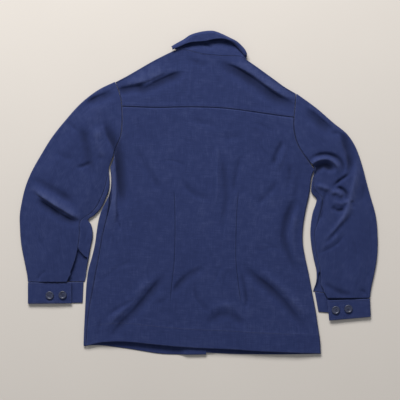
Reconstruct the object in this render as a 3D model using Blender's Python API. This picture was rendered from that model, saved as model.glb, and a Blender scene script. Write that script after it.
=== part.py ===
"""A woven work jacket laid flat on its front, back up, sleeves out to both sides.

X runs to the right across the back, Y towards the collar, Z up from the surface it lies on.
Sizes below are in millimetres and become metres when a mesh is made.
Each panel is a wall of cloth: a grid of points on the middle of the cloth, moved out to both
faces along its normals and closed by rims. The two fronts lie on the surface, the back and the
yoke lie over them, and each sleeve is one flattened wrap of cloth with an underarm seam.
"""
from collections import namedtuple

import bpy
import numpy as np

# Driving sizes, millimetres
CLOTH = 1.2
CUFF_CLOTH = 2.2
COLLAR_CLOTH = 1.6
SEAM = 0.3
SEAM_ARMHOLE = 0.9
SEAM_ARMHOLE_LOW = 4.0
EDGE_RADIUS = 2.5
CUFF_RADIUS = 2.6
BODY_DOME = 4.0
SLEEVE_DOME = 4.0
PLACKET_HALF = 25.0
PLACKET_LIFT = 2.9
CENTRE_X = -2.0
NECK_FROM = 0.30
NECK_SHARE = 0.43
COLLAR_FOOT = 2.6
MM = 0.001

# Lines drawn on the cloth: each a short list of (x, y)
SIDE_SEAM_LEFT = ((-275, -374), (-272, -323), (-267, -280), (-259, -238), (-251, -194),
                  (-243, -152), (-236, -110), (-227, -71), (-219, -37), (-213, -7),
                  (-212, 17), (-213, 42), (-216, 64))
EDGE_LEFT = ((-282, -374), (-281, -341), (-279, -301), (-277, -262), (-274, -216), (-269, -184),
             (-262, -159), (-254, -125), (-250, -96), (-245, -66), (-238, -43), (-227, -20),
             (-218, 2), (-216, 22), (-217, 44), (-219, 64))
EDGE_RIGHT = ((299, -393), (297, -360), (292, -326), (287, -292), (282, -265), (276, -233),
              (268, -191), (260, -154), (255, -123), (255, -91), (259, -59), (265, -29),
              (271, -2), (274, 22), (277, 42), (284, 57))
ARMHOLE_LEFT = ((-216, 64), (-201, 110), (-190, 142), (-187, 175), (-188, 211), (-190, 230),
                (-195, 247), (-204, 271))
ARMHOLE_RIGHT = ((284, 57), (262, 88), (243, 118), (234, 150), (233, 184), (236, 212), (238, 243))
ARMHOLE_FRONT_LEFT = ((-219, 64), (-208, 92), (-196, 128), (-189, 170), (-190, 215), (-204, 271))
ARMHOLE_FRONT_RIGHT = ((284, 57), (270, 80), (250, 112), (238, 150), (234, 198), (238, 243))
HEM_BACK = ((-275, -374), (-242, -366), (-205, -363), (-168, -364), (-119, -369), (-58, -375),
            (3, -379), (77, -382), (150, -387), (224, -390), (299, -393))
HEM_FRONT_LEFT = ((-282, -374), (-242, -373), (-205, -377), (-168, -382), (-132, -388),
                  (-100, -393), (-40, -395.5), (18, -395))
HEM_FRONT_RIGHT = ((-22, -387), (40, -392), (89, -394.5), (126, -395), (199, -395.5), (299, -394))
YOKE_SEAM = ((-188, 211), (-144, 209), (-95, 208), (-46, 209), (3, 209), (52, 207), (101, 202),
             (150, 195), (199, 188), (233, 184))
SHOULDER_LEFT = ((-204, 271), (-181, 283), (-144, 304), (-107, 325), (-63, 347))
SHOULDER_RIGHT = ((118, 325), (140, 310), (162, 294), (187, 276), (211, 259), (238, 243))
NECK_BACK = ((-63, 347), (-49, 350.5), (-36, 351), (-22, 348), (-4, 343), (15, 339), (40, 336.5),
             (58, 335), (79, 336), (100, 334), (118, 325))
NECK_FRONT_LEFT = ((18, 262), (2, 264), (-22, 276), (-42, 302), (-63, 347))
NECK_FRONT_RIGHT = ((-22, 262), (30, 258), (68, 266), (98, 290), (118, 325))

# Stations of a sleeve from armhole to cuff: outer fold A, inner fold B, how much of the
# armhole's bow the section keeps, how wide the lower layer wraps over the inner fold to the
# underarm seam, how wide the slit stands open, how far the upper layer's free end swings, and how
# much of a half turn the inner fold makes
Station = namedtuple("Station", "ax ay bx by hug wrap slit swing turn")
SLEEVE_LEFT = (
    Station(-204, 272, -220, 62, 1, 3, 0, 0, 1),
    Station(-242, 254, -225, 57, 0.62, 4, 0, 0, 1),
    Station(-284, 223, -229, 49, 0.3, 5, 0, 0, 1),
    Station(-325, 179, -230, 38, 0.12, 6, 0, 0, 1),
    Station(-360, 135, -229, 23, 0.03, 7, 0, 0, 1),
    Station(-386, 93, -227, 5, 0, 8, 0, 0, 1),
    Station(-408, 54, -233, -22, 0, 8, 0, 0, 1),
    Station(-424, 15, -246, -44, 0, 8, 0, 0, 1),
    Station(-433, -22, -261, -58, 0, 9, 0, 0, 1),
    Station(-438, -55, -270, -66, 0, 12, 0, 0, 1),
    Station(-437.5, -85, -263, -78, 0, 26, 0, 0, 1),
    Station(-435, -120, -259, -106, 0, 30, 0, 0, 1),
    Station(-431, -145, -264, -131, 0, 28, 0.3, 0, 1),
    Station(-427, -164, -268, -154, 0, 19, 10, 0, 0.95),
    Station(-423, -184, -273, -179, 0, 8, 24, 0, 0.6),
    Station(-419, -206, -278, -205, 0, 1, 36, 0, 0.15),
    Station(-418, -217.5, -280, -217.5, 0, 0.5, 39, 0, 0),
)
SLEEVE_RIGHT = (
    Station(238, 243, 286, 61, 1, 5, 0, 0, 1),
    Station(288, 207, 294, 56, 0.55, 5, 0, 0, 1),
    Station(330, 171, 299, 47, 0.25, 5, 0, 0, 1),
    Station(362, 145, 301, 36, 0.1, 5, 0, 0, 1),
    Station(381, 118, 298, 24, 0.03, 4, 0, 0, 1),
    Station(392, 92, 293, 11, 0, 6, 0, 0, 1),
    Station(402, 60, 289, -3, 0, 8, 0, 0, 1),
    Station(411, 25, 290, -17, 0, 10, 0, 0, 1),
    Station(420, -8, 287, -29, 0, 14, 0, 0, 1),
    Station(430, -42, 279, -48, 0, 16, 0, 0, 1),
    Station(435, -68, 275, -70, 0, 14, 0, 0, 1),
    Station(437.5, -100, 273, -98, 0, 6, 0, 0, 1),
    Station(438, -135, 276, -132, 0, 6, 0, 0, 1),
    Station(435, -169, 282, -164, 0, 6, 0, 0, 1),
    Station(429, -201, 288, -191, 0, 6, 0, 0, 1),
    Station(422, -233, 287, -219, 0, 3, 6, -4, 0.5),
    Station(419, -257, 281, -241, 0, 0.5, 33, -16, 0),
)

# Cuff bands, upper and lower edge along the band from the underlap, round the outer fold, to the
# free end that carries the buttons
Cuff = namedtuple("Cuff", "under_top under_foot fold_top fold_foot free_top free_foot")
CUFF_LEFT = Cuff((-282, -218), (-284.5, -269), (-418, -218), (-418, -271), (-311, -218), (-311, -270))
CUFF_RIGHT = Cuff((284, -241.5), (293, -291), (419, -258), (421, -303), (314, -262), (319, -312))

# Folds in the upper layer: a line from (x0, y0) to (x1, y1), how wide it is and how high it
# stands, or how deep it sinks where the height is negative
Fold = namedtuple("Fold", "x0 y0 x1 y1 width height")
FOLDS = (
    Fold(-196, 246, -140, 256, 13, -3.5),
    Fold(-150, 250, -84, 286, 15, -3.5),
    Fold(-196, 268, -130, 288, 16, 3.0),
    Fold(50, 316, 120, 284, 14, -3.5),
    Fold(120, 284, 165, 254, 14, -4.5),
    Fold(165, 254, 226, 214, 14, -4.5),
    Fold(90, 320, 200, 250, 12, 3.5),
    Fold(-25, 300, 20, 285, 16, 2.0),
    Fold(236, 226, 258, 196, 10, -3.5),
    Fold(258, 196, 300, 158, 15, -3.0),
    Fold(-262, 240, -222, 256, 14, -2.5),
    Fold(-232, 190, -205, 110, 16, -3.5),
    Fold(-262, 170, -240, 80, 20, 3.0),
    Fold(-186, 130, -184, -25, 13, -4.5),
    Fold(-206, 70, -205, -90, 11, 6.0),
    Fold(-178, -30, -186, -84, 12, -3.0),
    Fold(-168, 20, -168, -60, 12, 2.5),
    Fold(-145, 105, -95, 5, 16, -2.5),
    Fold(-120, 110, -70, 10, 18, 2.0),
    Fold(-83, 68, -35, 56, 12, -2.0),
    Fold(-35, 56, 40, -5, 14, -2.0),
    Fold(58, 105, 44, -45, 18, -3.0),
    Fold(82, 60, 74, -60, 16, 2.5),
    Fold(112, 130, 104, 40, 12, -2.5),
    Fold(214, 103, 190, 44, 9, -3.5),
    Fold(226, 90, 206, 40, 9, 2.5),
    Fold(250, 10, 218, -60, 13, -4.0),
    Fold(218, -60, 218, -150, 12, -3.5),
    Fold(222, -168, 250, -206, 12, -3.0),
    Fold(240, -40, 240, -130, 10, 3.0),
    Fold(113, -180, 190, -248, 12, -4.0),
    Fold(190, -248, 272, -330, 14, -4.5),
    Fold(130, -170, 262, -300, 11, 3.5),
    Fold(-80, -205, -150, -282, 13, -3.0),
    Fold(-150, -282, -216, -358, 13, -4.0),
    Fold(-96, -190, -200, -300, 11, 2.5),
    Fold(-60, -240, -30, -195, 14, 2.5),
    Fold(-8, -190, 12, -282, 16, -2.0),
    Fold(50, -300, 110, -320, 20, -2.5),
    Fold(0, -250, 10, -330, 14, 2.0),
    Fold(-394, 8, -340, -22, 11, 5.0),
    Fold(-340, -22, -284, -62, 10, 5.5),
    Fold(-400, -12, -338, -42, 11, -4.0),
    Fold(-338, -42, -290, -78, 9, -4.0),
    Fold(-244, 62, -240, 30, 12, -3.0),
    Fold(-310, 40, -262, 60, 16, 2.0),
    Fold(266, 88, 310, 100, 9, -4.0),
    Fold(310, 100, 352, 76, 10, -4.0),
    Fold(352, 76, 350, 40, 10, -3.5),
    Fold(284, 112, 330, 116, 11, 4.0),
    Fold(330, 116, 368, 92, 11, 4.0),
    Fold(368, 92, 374, 52, 9, 4.0),
    Fold(300, 74, 322, 36, 15, -5.0),
    Fold(322, 62, 340, 36, 10, 3.0),
    Fold(336, 30, 368, 12, 9, -4.0),
    Fold(368, 12, 352, -20, 8, -4.0),
    Fold(340, 12, 352, 0, 8, 3.5),
    Fold(376, 26, 372, -16, 8, 4.0),
    Fold(362, 140, 376, 30, 8, -3.5),
    Fold(400, 40, 392, -60, 12, 2.0),
    Fold(330, -90, 372, -40, 14, -2.5),
    Fold(316, -116, 356, -64, 12, 2.5),
    Fold(300, -40, 306, -80, 9, -2.0),
    Fold(414, -50, 424, -175, 7, 1.2),
)

# The collar leaves under the fronts: how far they hold the cloth off the surface, and their outlines
LEAF_LIFT = 2.3
LEAF_LEFT = ((-64, 339), (-46, 298), (-24, 266), (-90, 244), (-106, 280), (-102, 314))
LEAF_RIGHT = ((117, 315), (96, 284), (68, 259), (124, 228), (146, 252), (152, 280))


def to_array(points):
    """The listed points as an array of rows."""
    return np.array(points, dtype=float)


def smooth_line(points, where):
    """A smooth line through the points, read at the fractions where, 0 at its start to 1 at its end.

    Each stretch is a Hermite cubic on chord length, its end slopes the mean of the two stretches
    that meet there.
    """
    points = to_array(points)
    step = np.linalg.norm(np.diff(points, axis=0), axis=1)
    length = np.concatenate(([0.0], np.cumsum(step)))
    slope = np.gradient(points, length, axis=0)
    at = np.clip(np.asarray(where, dtype=float), 0.0, 1.0) * length[-1]
    index = np.clip(np.searchsorted(length, at, side="right") - 1, 0, len(step) - 1)
    span = step[index][:, None]
    t = ((at - length[index]) / step[index])[:, None]
    start = (2 * t ** 3 - 3 * t ** 2 + 1) * points[index] + (t ** 3 - 2 * t ** 2 + t) * span * slope[index]
    end = (3 * t ** 2 - 2 * t ** 3) * points[index + 1] + (t ** 3 - t ** 2) * span * slope[index + 1]
    return start + end


def joined_line(parts, shares, where):
    """Several smooth lines end to end, each taking its share of the fractions where."""
    edges = np.concatenate(([0.0], np.cumsum(shares)))
    edges /= edges[-1]
    where = np.asarray(where, dtype=float)
    result = np.zeros((len(where), len(parts[0][0])))
    for number, part in enumerate(parts):
        inside = (where >= edges[number] - 1e-9) & (where <= edges[number + 1] + 1e-9)
        local = (where[inside] - edges[number]) / (edges[number + 1] - edges[number])
        result[inside] = smooth_line(part, local)
    return result


def patch(low, high, left, right, across, along):
    """A Coons patch between four border lines, points in rows from low to high.

    P = (1-v) low + v high + (1-u) left + u right, less the bilinear patch of the four corners.
    """
    u = across[None, :, None]
    v = along[:, None, None]
    ruled = (1 - v) * low[None] + v * high[None] + (1 - u) * left[:, None] + u * right[:, None]
    corner = (1 - u) * (1 - v) * low[0] + u * (1 - v) * low[-1] + (1 - u) * v * high[0] + u * v * high[-1]
    return ruled - corner


def fade(distance, reach):
    """Rises smoothly from 0 at distance 0 to 1 at reach."""
    t = np.clip(distance / reach, 0.0, 1.0)
    return t * t * (3 - 2 * t)


def to_segment(x, y, x0, y0, x1, y1):
    """How far each (x, y) lies from the straight line between two points."""
    along = np.array([x1 - x0, y1 - y0], dtype=float)
    t = ((x - x0) * along[0] + (y - y0) * along[1]) / max(along @ along, 1e-9)
    t = np.clip(t, 0.0, 1.0)
    return np.hypot(x - x0 - t * along[0], y - y0 - t * along[1])


def relief(x, y):
    """The folds' height: the sum of height * exp(-(distance / width)^2)."""
    total = np.zeros_like(x)
    for fold in FOLDS:
        distance = to_segment(x, y, fold.x0, fold.y0, fold.x1, fold.y1)
        total += fold.height * np.exp(-(distance / fold.width) ** 2)
    return total


def to_outline(x, y, outline):
    """How far each (x, y) lies outside a closed outline, 0 inside it."""
    points = to_array(outline)
    nearest = np.full(x.shape, 1e9)
    inside = np.zeros(x.shape, dtype=bool)
    for (x0, y0), (x1, y1) in zip(points, np.roll(points, -1, axis=0)):
        nearest = np.minimum(nearest, to_segment(x, y, x0, y0, x1, y1))
        crosses = (y0 > y) != (y1 > y)
        reach = x0 + (y - y0) * (x1 - x0) / (y1 - y0 if y1 != y0 else 1e-9)
        inside ^= crosses & (x < reach)
    return np.where(inside, 0.0, nearest)


def under_lift(x, y):
    """How far the fronts are held off the surface by the placket's buttons and the collar leaves."""
    placket = PLACKET_LIFT * (1 - fade(np.abs(x - CENTRE_X) - PLACKET_HALF, 26.0))
    leaves = np.minimum(to_outline(x, y, LEAF_LEFT), to_outline(x, y, LEAF_RIGHT))
    return np.maximum(placket, LEAF_LIFT * (1 - fade(leaves - 20.0, 34.0)))


def front_level(x, y):
    """The middle of a front's cloth where it lies on the surface or on what is under it."""
    return CLOTH / 2 + under_lift(x, y)


def body_level(x, y, inset):
    """The middle of the back's cloth: a low dome over the fronts, with the folds, inset from the edge."""
    rise = fade(inset, 70.0)
    ripple = relief(x, y) * fade(inset - 5.0, 14.0)
    propped = under_lift(x, y) * (1 - fade(inset - 8.0, 30.0))
    height = CLOTH / 2 + 2 * EDGE_RADIUS + propped + BODY_DOME * rise + ripple
    lap = CLOTH + SEAM + 0.1
    overlap = lap * (1 - fade(np.abs(x - CENTRE_X) - PLACKET_HALF - 6.0, 16.0))
    floor = front_level(x, y) + CLOTH + 0.5 + overlap
    soft = 1.2
    return floor + soft * np.log1p(np.exp(np.clip((height - floor) / soft, -30, 30)))


def panel_distance(x, y, edges):
    """The distance from each point to the nearest of several lines."""
    nearest = np.full(x.shape, 1e9)
    for line in edges:
        dense = smooth_line(line, np.linspace(0, 1, 40))
        for (x0, y0), (x1, y1) in zip(dense[:-1], dense[1:]):
            nearest = np.minimum(nearest, to_segment(x, y, x0, y0, x1, y1))
    return nearest


def body_inset(x, y):
    """How far a point of the back lies inside the sides, the shoulders and the neck."""
    return panel_distance(x, y, (EDGE_LEFT, EDGE_RIGHT, SHOULDER_LEFT, SHOULDER_RIGHT))


def normals(grid):
    """Unit normals of a grid of points, from the slopes along its rows and its columns."""
    across = np.gradient(grid, axis=1)
    along = np.gradient(grid, axis=0)
    normal = np.cross(across, along)
    return normal / np.maximum(np.linalg.norm(normal, axis=2, keepdims=True), 1e-12)


def make_object(name, points, faces, colour, roughness, smooth=True):
    """One closed mesh object, its points given in millimetres, with a material of its own."""
    mesh = bpy.data.meshes.new(name)
    mesh.from_pydata([tuple(point) for point in np.asarray(points) * MM], [], faces)
    mesh.validate()
    mesh.update()
    if smooth:
        mesh.shade_smooth()
        mesh.set_sharp_from_angle(angle=0.7)
    thing = bpy.data.objects.new(name, mesh)
    bpy.context.scene.collection.objects.link(thing)
    material = bpy.data.materials.new(name)
    material.use_nodes = True
    shader = material.node_tree.nodes["Principled BSDF"]
    shader.inputs["Base Color"].default_value = (*colour, 1.0)
    shader.inputs["Roughness"].default_value = roughness
    shader.inputs["Metallic"].default_value = 0.0
    mesh.materials.append(material)
    return thing


NAVY = (0.022, 0.028, 0.092)
BUTTON_NAVY = (0.012, 0.014, 0.035)


def wall(name, grid, thickness):
    """A wall of cloth on a grid of middle points, open all round, with rims on its four borders."""
    rows, columns = grid.shape[:2]
    shift = normals(grid) * thickness / 2
    upper = grid + shift
    lower = grid - shift
    points = np.concatenate((upper.reshape(-1, 3), lower.reshape(-1, 3)))
    count = rows * columns
    index = np.arange(count).reshape(rows, columns)
    first = np.stack((index[:-1, :-1], index[:-1, 1:], index[1:, 1:]), axis=-1).reshape(-1, 3)
    second = np.stack((index[:-1, :-1], index[1:, 1:], index[1:, :-1]), axis=-1).reshape(-1, 3)
    sheet = np.concatenate((first, second))
    faces = [tuple(face) for face in np.concatenate((sheet, sheet[:, ::-1] + count))]
    border = np.concatenate((index[0, :-1], index[:-1, -1], index[-1, :0:-1], index[:0:-1, 0]))
    for here, after in zip(border, np.roll(border, -1)):
        faces.append((int(here), int(here) + count, int(after) + count, int(after)))
    faces = [tuple(int(corner) for corner in face) for face in faces]
    return make_object(name, points, faces, NAVY, 0.85)


def roll_side(grid, inward, radius, angle, straight, turns, laps, rise):
    """Adds columns to the right end of a grid that curl its border over and back.

    At each row the cloth turns through angle on the given radius, then runs straight. inward is the
    unit direction from the border into the panel, and rise is 1 to curl up and -1 to curl down.
    Where the angle is small the added columns stay 0.9 mm apart.
    """
    base = grid[:, -1].copy()
    columns = [grid]
    angle = np.asarray(angle, dtype=float)[:, None]
    straight = np.asarray(straight, dtype=float)[:, None]
    side = np.concatenate((inward, np.zeros((len(inward), 1))), axis=1)
    upward = np.array([[0.0, 0.0, float(rise)]])
    slack = 0.9 * (1 - np.minimum(angle / 1.2, 1.0))
    for number in range(1, turns + 1):
        phi = angle * number / turns
        tangent = -side * np.cos(phi) + upward * np.sin(phi)
        place = base - side * radius * np.sin(phi) + upward * radius * (1 - np.cos(phi))
        place = place + tangent * slack * number
        columns.append(place[:, None])
    last = columns[-1][:, 0]
    tangent = -side * np.cos(angle) + upward * np.sin(angle)
    for number in range(1, laps + 1):
        reach = np.maximum(straight * number / laps, 0.9 * number)
        columns.append((last + tangent * reach)[:, None])
    return np.concatenate(columns, axis=1)


def spread(count, start=0.0, end=1.0):
    """Evenly spaced fractions."""
    return np.linspace(start, end, count)


def unit(vectors):
    """Vectors scaled to length 1."""
    return vectors / np.maximum(np.linalg.norm(vectors, axis=-1, keepdims=True), 1e-12)


def inward_of(border, sense):
    """Unit directions square to a border line, turned to the side given by sense."""
    tangent = unit(np.gradient(border, axis=0))
    return np.stack((-tangent[:, 1], tangent[:, 0]), axis=1) * sense


UNDERARM = 0.72
ROWS_BACK = np.concatenate((spread(15, 0, UNDERARM), spread(7, UNDERARM, 1)[1:]))
FRONT_COLUMNS = (0, 0.04, 0.08, 0.12, 0.155, 0.2, 0.26, 0.36, 0.46, 0.56, 0.67, 0.78, 0.89, 1)
SHORT_TURN = np.pi / 2 - 0.3
SHOULDER_TURN = np.pi / 2 - 0.6


def make_back():
    """The lower back: from the hem to the yoke seam, its right edge turned down to the side seam."""
    rows = ROWS_BACK
    left = joined_line((SIDE_SEAM_LEFT, ARMHOLE_LEFT[:5]), (UNDERARM, 1 - UNDERARM), rows)
    right = joined_line((EDGE_RIGHT, ARMHOLE_RIGHT[:5]), (UNDERARM, 1 - UNDERARM), rows)
    below = rows < UNDERARM - 1e-6
    turn = np.where(below, 1.0, 0.0)
    turn[np.searchsorted(rows, UNDERARM - 1e-6)] = 0.5
    left = left + inward_of(left, -1) * np.where(below, SEAM / 2, SEAM_ARMHOLE / 2)[:, None]
    inset = np.where(below, EDGE_RADIUS + CLOTH / 2, SEAM_ARMHOLE / 2 + 1.9)
    inward = inward_of(right, 1)
    right = right + inward * inset[:, None]
    across = spread(25)
    low = smooth_line(HEM_BACK, across)
    high = smooth_line(YOKE_SEAM, across) - np.array([0, SEAM / 2 + 0.1])
    left[-1, 1], right[-1, 1] = high[0, 1], high[-1, 1]
    low[0], low[-1], high[0], high[-1] = left[0], right[0], left[-1], right[-1]
    flat = patch(low, high, left, right, across, rows)
    x, y = flat[..., 0], flat[..., 1]
    grid = np.dstack((x, y, body_level(x, y, body_inset(x, y))))
    depth = grid[:, -1, 2] - (CLOTH / 2 + EDGE_RADIUS)
    grid = roll_side(grid, inward, EDGE_RADIUS, turn * np.pi / 2, depth * 0, 2, 0, -1)
    return wall("back_panel", grid, CLOTH)


def yoke_grid():
    """The middle points of the yoke: from its seam up to the shoulders, turned down there, and to the neck."""
    across = spread(23)
    first, second = NECK_FROM, NECK_SHARE
    rows = spread(7)
    left = joined_line((ARMHOLE_LEFT[4:],), (1,), rows)
    right = joined_line((ARMHOLE_RIGHT[4:],), (1,), rows)
    left = left + inward_of(left, -1) * SEAM_ARMHOLE / 2
    right = right + inward_of(right, 1) * SEAM_ARMHOLE / 2
    high = joined_line((SHOULDER_LEFT, NECK_BACK, SHOULDER_RIGHT), (first, second, 1 - first - second), across)
    inward = inward_of(high, -1)
    neck = fade(np.minimum(across - first, first + second - across) + 0.03, 0.06)
    inset = (EDGE_RADIUS + CLOTH / 2) * (1 - neck) + (SEAM + 1.9) * neck
    high = high + inward * inset[:, None]
    low = smooth_line(YOKE_SEAM, across) + np.array([0, SEAM / 2 + 0.1])
    left[0, 1], right[0, 1] = low[0, 1], low[-1, 1]
    low[0], low[-1] = left[0], right[0]
    high = high + np.outer(fade(0.14 - across, 0.14), left[-1] + inward[0] * inset[0] - high[0])
    high = high + np.outer(fade(across - 0.86, 0.14), right[-1] + inward[-1] * inset[-1] - high[-1])
    left[-1], right[-1] = high[0], high[-1]
    flat = patch(low, high, left, right, across, rows)
    x, y = flat[..., 0], flat[..., 1]
    grid = np.dstack((x, y, body_level(x, y, body_inset(x, y))))
    turned = roll_side(np.swapaxes(grid, 0, 1), inward, EDGE_RADIUS, (1 - neck) * np.pi / 2, neck * 0, 2, 0, -1)
    return np.swapaxes(turned, 0, 1)


def front_grid(edge, armhole, hem, neck, shoulder, centre, sense, turn, added):
    """One front from its centre edge to its side, as rows from hem to shoulder, lying on the surface."""
    rows = ROWS_BACK
    side = joined_line((edge, armhole), (UNDERARM, 1 - UNDERARM), rows)
    share = fade(UNDERARM - 0.03 - rows, 0.16)
    angle = turn * share
    inward = inward_of(side, sense)
    flat_run = 0.9 * added + np.where(rows < UNDERARM - 1e-6, 0.0, SEAM_ARMHOLE / 2)
    inset = (EDGE_RADIUS + CLOTH / 2) * share + flat_run * (1 - share)
    side = side + inward * inset[:, None]
    across = np.array(FRONT_COLUMNS)
    split = 0.46
    high = joined_line((neck, shoulder), (split, 1 - split), across)
    top_in = inward_of(high, -1 if high[-1, 0] > high[0, 0] else 1)
    roll = fade(across - split, 0.06)
    high = high + top_in * ((EDGE_RADIUS + CLOTH / 2) * roll + 1.9 * (1 - roll))[:, None]
    low = smooth_line(hem, across)
    low[-1] = side[0]
    corner = side[-1] + top_in[-1] * (EDGE_RADIUS + CLOTH / 2)
    high = high + np.outer(fade(across - 0.8, 0.2), corner - high[-1])
    side[-1] = high[-1]
    middle = np.outer(1 - rows, (centre, low[0, 1])) + np.outer(rows, (centre, high[0, 1]))
    middle[0], middle[-1] = low[0], high[0]
    flat = patch(low, high, middle, side, across, rows)
    return flat, inward, angle, top_in, roll


def shoulder_roll(grid, top_in, roll):
    """Curls the shoulder end of a front up to meet the yoke, its neck end left flat."""
    more = grid.shape[1] - len(top_in)
    top_in = np.concatenate((top_in, np.repeat(top_in[-1:], more, axis=0)))
    roll = np.concatenate((roll, np.full(more, roll[-1])))
    turned = roll_side(np.swapaxes(grid, 0, 1), top_in, EDGE_RADIUS, roll * SHOULDER_TURN, roll * 0, 2, 0, 1)
    return np.swapaxes(turned, 0, 1)


def make_fronts():
    """Both fronts, face down, the left one lapping over the right at the centre."""
    flat, inward, angle, top_in, roll = front_grid(
        EDGE_LEFT, ARMHOLE_FRONT_LEFT, HEM_FRONT_LEFT[::-1], NECK_FRONT_LEFT, SHOULDER_LEFT[::-1],
        18, -1, np.pi, 5)
    x, y = flat[..., 0], flat[..., 1]
    over = (CLOTH + SEAM + 0.1) * (1 - fade(np.abs(x - CENTRE_X) - PLACKET_HALF, 16.0))
    grid = np.dstack((x, y, front_level(x, y) + over))
    seam = smooth_line(SIDE_SEAM_LEFT, ROWS_BACK[ROWS_BACK <= UNDERARM + 1e-6] / UNDERARM)
    edge = smooth_line(EDGE_LEFT, ROWS_BACK[ROWS_BACK <= UNDERARM + 1e-6] / UNDERARM)
    wrap = np.zeros(len(ROWS_BACK))
    apart = np.linalg.norm(seam - edge, axis=1)
    wrap[:len(seam)] = np.maximum(apart - EDGE_RADIUS - CLOTH / 2 - SEAM / 2 - 0.25, 0.0)
    grid = roll_side(grid, inward, EDGE_RADIUS, angle, wrap, 4, 1, 1)
    left = wall("front_left", shoulder_roll(grid, top_in, roll)[:, ::-1], CLOTH)

    flat, inward, angle, top_in, roll = front_grid(
        EDGE_RIGHT, ARMHOLE_FRONT_RIGHT, HEM_FRONT_RIGHT, NECK_FRONT_RIGHT, SHOULDER_RIGHT,
        -22, 1, SHORT_TURN, 2)
    x, y = flat[..., 0], flat[..., 1]
    grid = np.dstack((x, y, front_level(x, y)))
    grid = roll_side(grid, inward, EDGE_RADIUS, angle, angle * 0, 2, 0, 1)
    right = wall("front_right", shoulder_roll(grid, top_in, roll), CLOTH)
    return left, right


def sleeve_grid(stations, armhole, armhole_front, count_rows, count_top, count_low, turns):
    """The wrap of one sleeve: from the seam on its upper layer, out round the outer fold, back
    along the lower layer, round the inner fold and over to the seam again.

    Each station's section runs along the chord from A to B, plus its share of the armholes' bow:
    P = A + chord * d + hug * (armhole(d) - first chord(d)). The upper layer lies a fold's height above
    the lower one, which lies on the surface.
    """
    table = np.array(stations, dtype=float)
    middle = (table[:, 0:2] + table[:, 2:4]) / 2
    step = np.linalg.norm(np.diff(middle, axis=0), axis=1)
    place = np.concatenate(([0.0], np.cumsum(step)))
    where = np.linspace(0, place[-1], count_rows)
    value = np.stack([np.interp(where, place, table[:, k]) for k in range(table.shape[1])], axis=1)
    for k in range(4):
        value[:, k] = smooth_columns(place, table[:, k], where)
    a, b = value[:, 0:2], value[:, 2:4]
    hug, wrap, slit, swing, turn = (value[:, k][:, None] for k in range(4, 9))
    length = np.linalg.norm(b - a, axis=1)[:, None]
    along = (b - a) / length
    back = np.stack((-along[:, 1], along[:, 0]), axis=1)
    towards = -np.gradient((a + b) / 2, axis=0)
    back *= np.sign((back * towards).sum(axis=1))[:, None]
    radius = EDGE_RADIUS
    near = radius + CLOTH / 2
    top = CLOTH / 2 + 2 * radius

    def bow_of(line, share, seam):
        """How far an armhole line lies off the first chord at each share of the way from A to B."""
        flat = np.clip(share, 0, 1).ravel()
        line = np.concatenate((b[:1], to_array(line)[1:-1], a[:1]))
        bow = smooth_line(line, 1 - flat) - (a[0] * (1 - flat[:, None]) + b[0] * flat[:, None])
        away = back[0] * seam / 2
        return (bow - away).reshape(share.shape + (2,))

    def put(distance, low, share_swing):
        """Points at a distance along the chord, low being 0 on the upper and 1 on the lower layer."""
        distance, low = np.broadcast_arrays(distance, low)
        share = distance / length
        bow = bow_of(armhole, share, SEAM_ARMHOLE) * (1 - low)[..., None]
        bow = bow + bow_of(armhole_front, share, SEAM_ARMHOLE_LOW) * low[..., None]
        bow = bow * hug[..., None]
        swung = share_swing * share
        x = a[:, :1] + along[:, :1] * distance + bow[..., 0] + back[:, :1] * swung
        y = a[:, 1:] + along[:, 1:] * distance + bow[..., 1] + back[:, 1:] * swung
        return np.stack((x, y, np.zeros_like(x)), axis=-1)

    gap = np.maximum(slit, 2 * SEAM)
    inner_end = length - near
    start = inner_end - wrap * (turn > 0.3) - gap
    t = spread(count_top)[None, :]
    distance = start + (near - start) * t
    upper = put(distance, 0.0, swing)

    def level(points, distance):
        """The upper layer's height: a low dome over the lower layer, with the folds."""
        inset = np.minimum(distance, length - distance) - near
        ripple = relief(points[..., 0], points[..., 1]) * fade(inset, 14.0)
        height = top + SLEEVE_DOME * fade(inset, 45.0) + ripple
        least = CLOTH * 1.5 + SEAM
        soft = 0.8
        return least + soft * np.log1p(np.exp(np.clip((height - least) / soft, -30, 30)))

    upper[..., 2] = level(upper, distance)
    phi = np.linspace(0, np.pi, turns + 1)[None, 1:-1]
    first = put(near - radius * np.sin(phi) + 0 * length, phi / np.pi, 0.0)
    first[..., 2] = CLOTH / 2 + radius + radius * np.cos(phi)
    t = spread(count_low)[None, :]
    lower = put(near + (inner_end - near) * t, 1.0, 0.0)
    lower[..., 2] = CLOTH / 2
    phi = turn * np.pi * np.linspace(0, 1, turns + 1)[None, 1:]
    slack = 0.7 * (1 - turn) * np.arange(1, turns + 1)[None, :]
    reach = radius * np.sin(phi) + slack * np.cos(phi)
    rise = radius * (1 - np.cos(phi)) + slack * np.sin(phi)
    second = put(inner_end + reach, 1 - phi / np.pi, 0.0)
    second[..., 2] = CLOTH / 2 + rise
    end_angle = phi[:, -1:]
    full = fade(turn - 0.9, 0.1)
    run = np.maximum(wrap * full, 1.2) * np.linspace(0, 1, 3)[None, 1:]
    lap = put(inner_end + reach[:, -1:] + run * np.cos(end_angle), 1 - end_angle / np.pi, 0.0)
    curled = CLOTH / 2 + rise[:, -1:] + run * np.sin(end_angle)
    lap[..., 2] = curled * (1 - full) + level(lap, inner_end + 0 * run - run) * full
    return np.concatenate((upper, first, lower, second, lap), axis=1)


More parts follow.
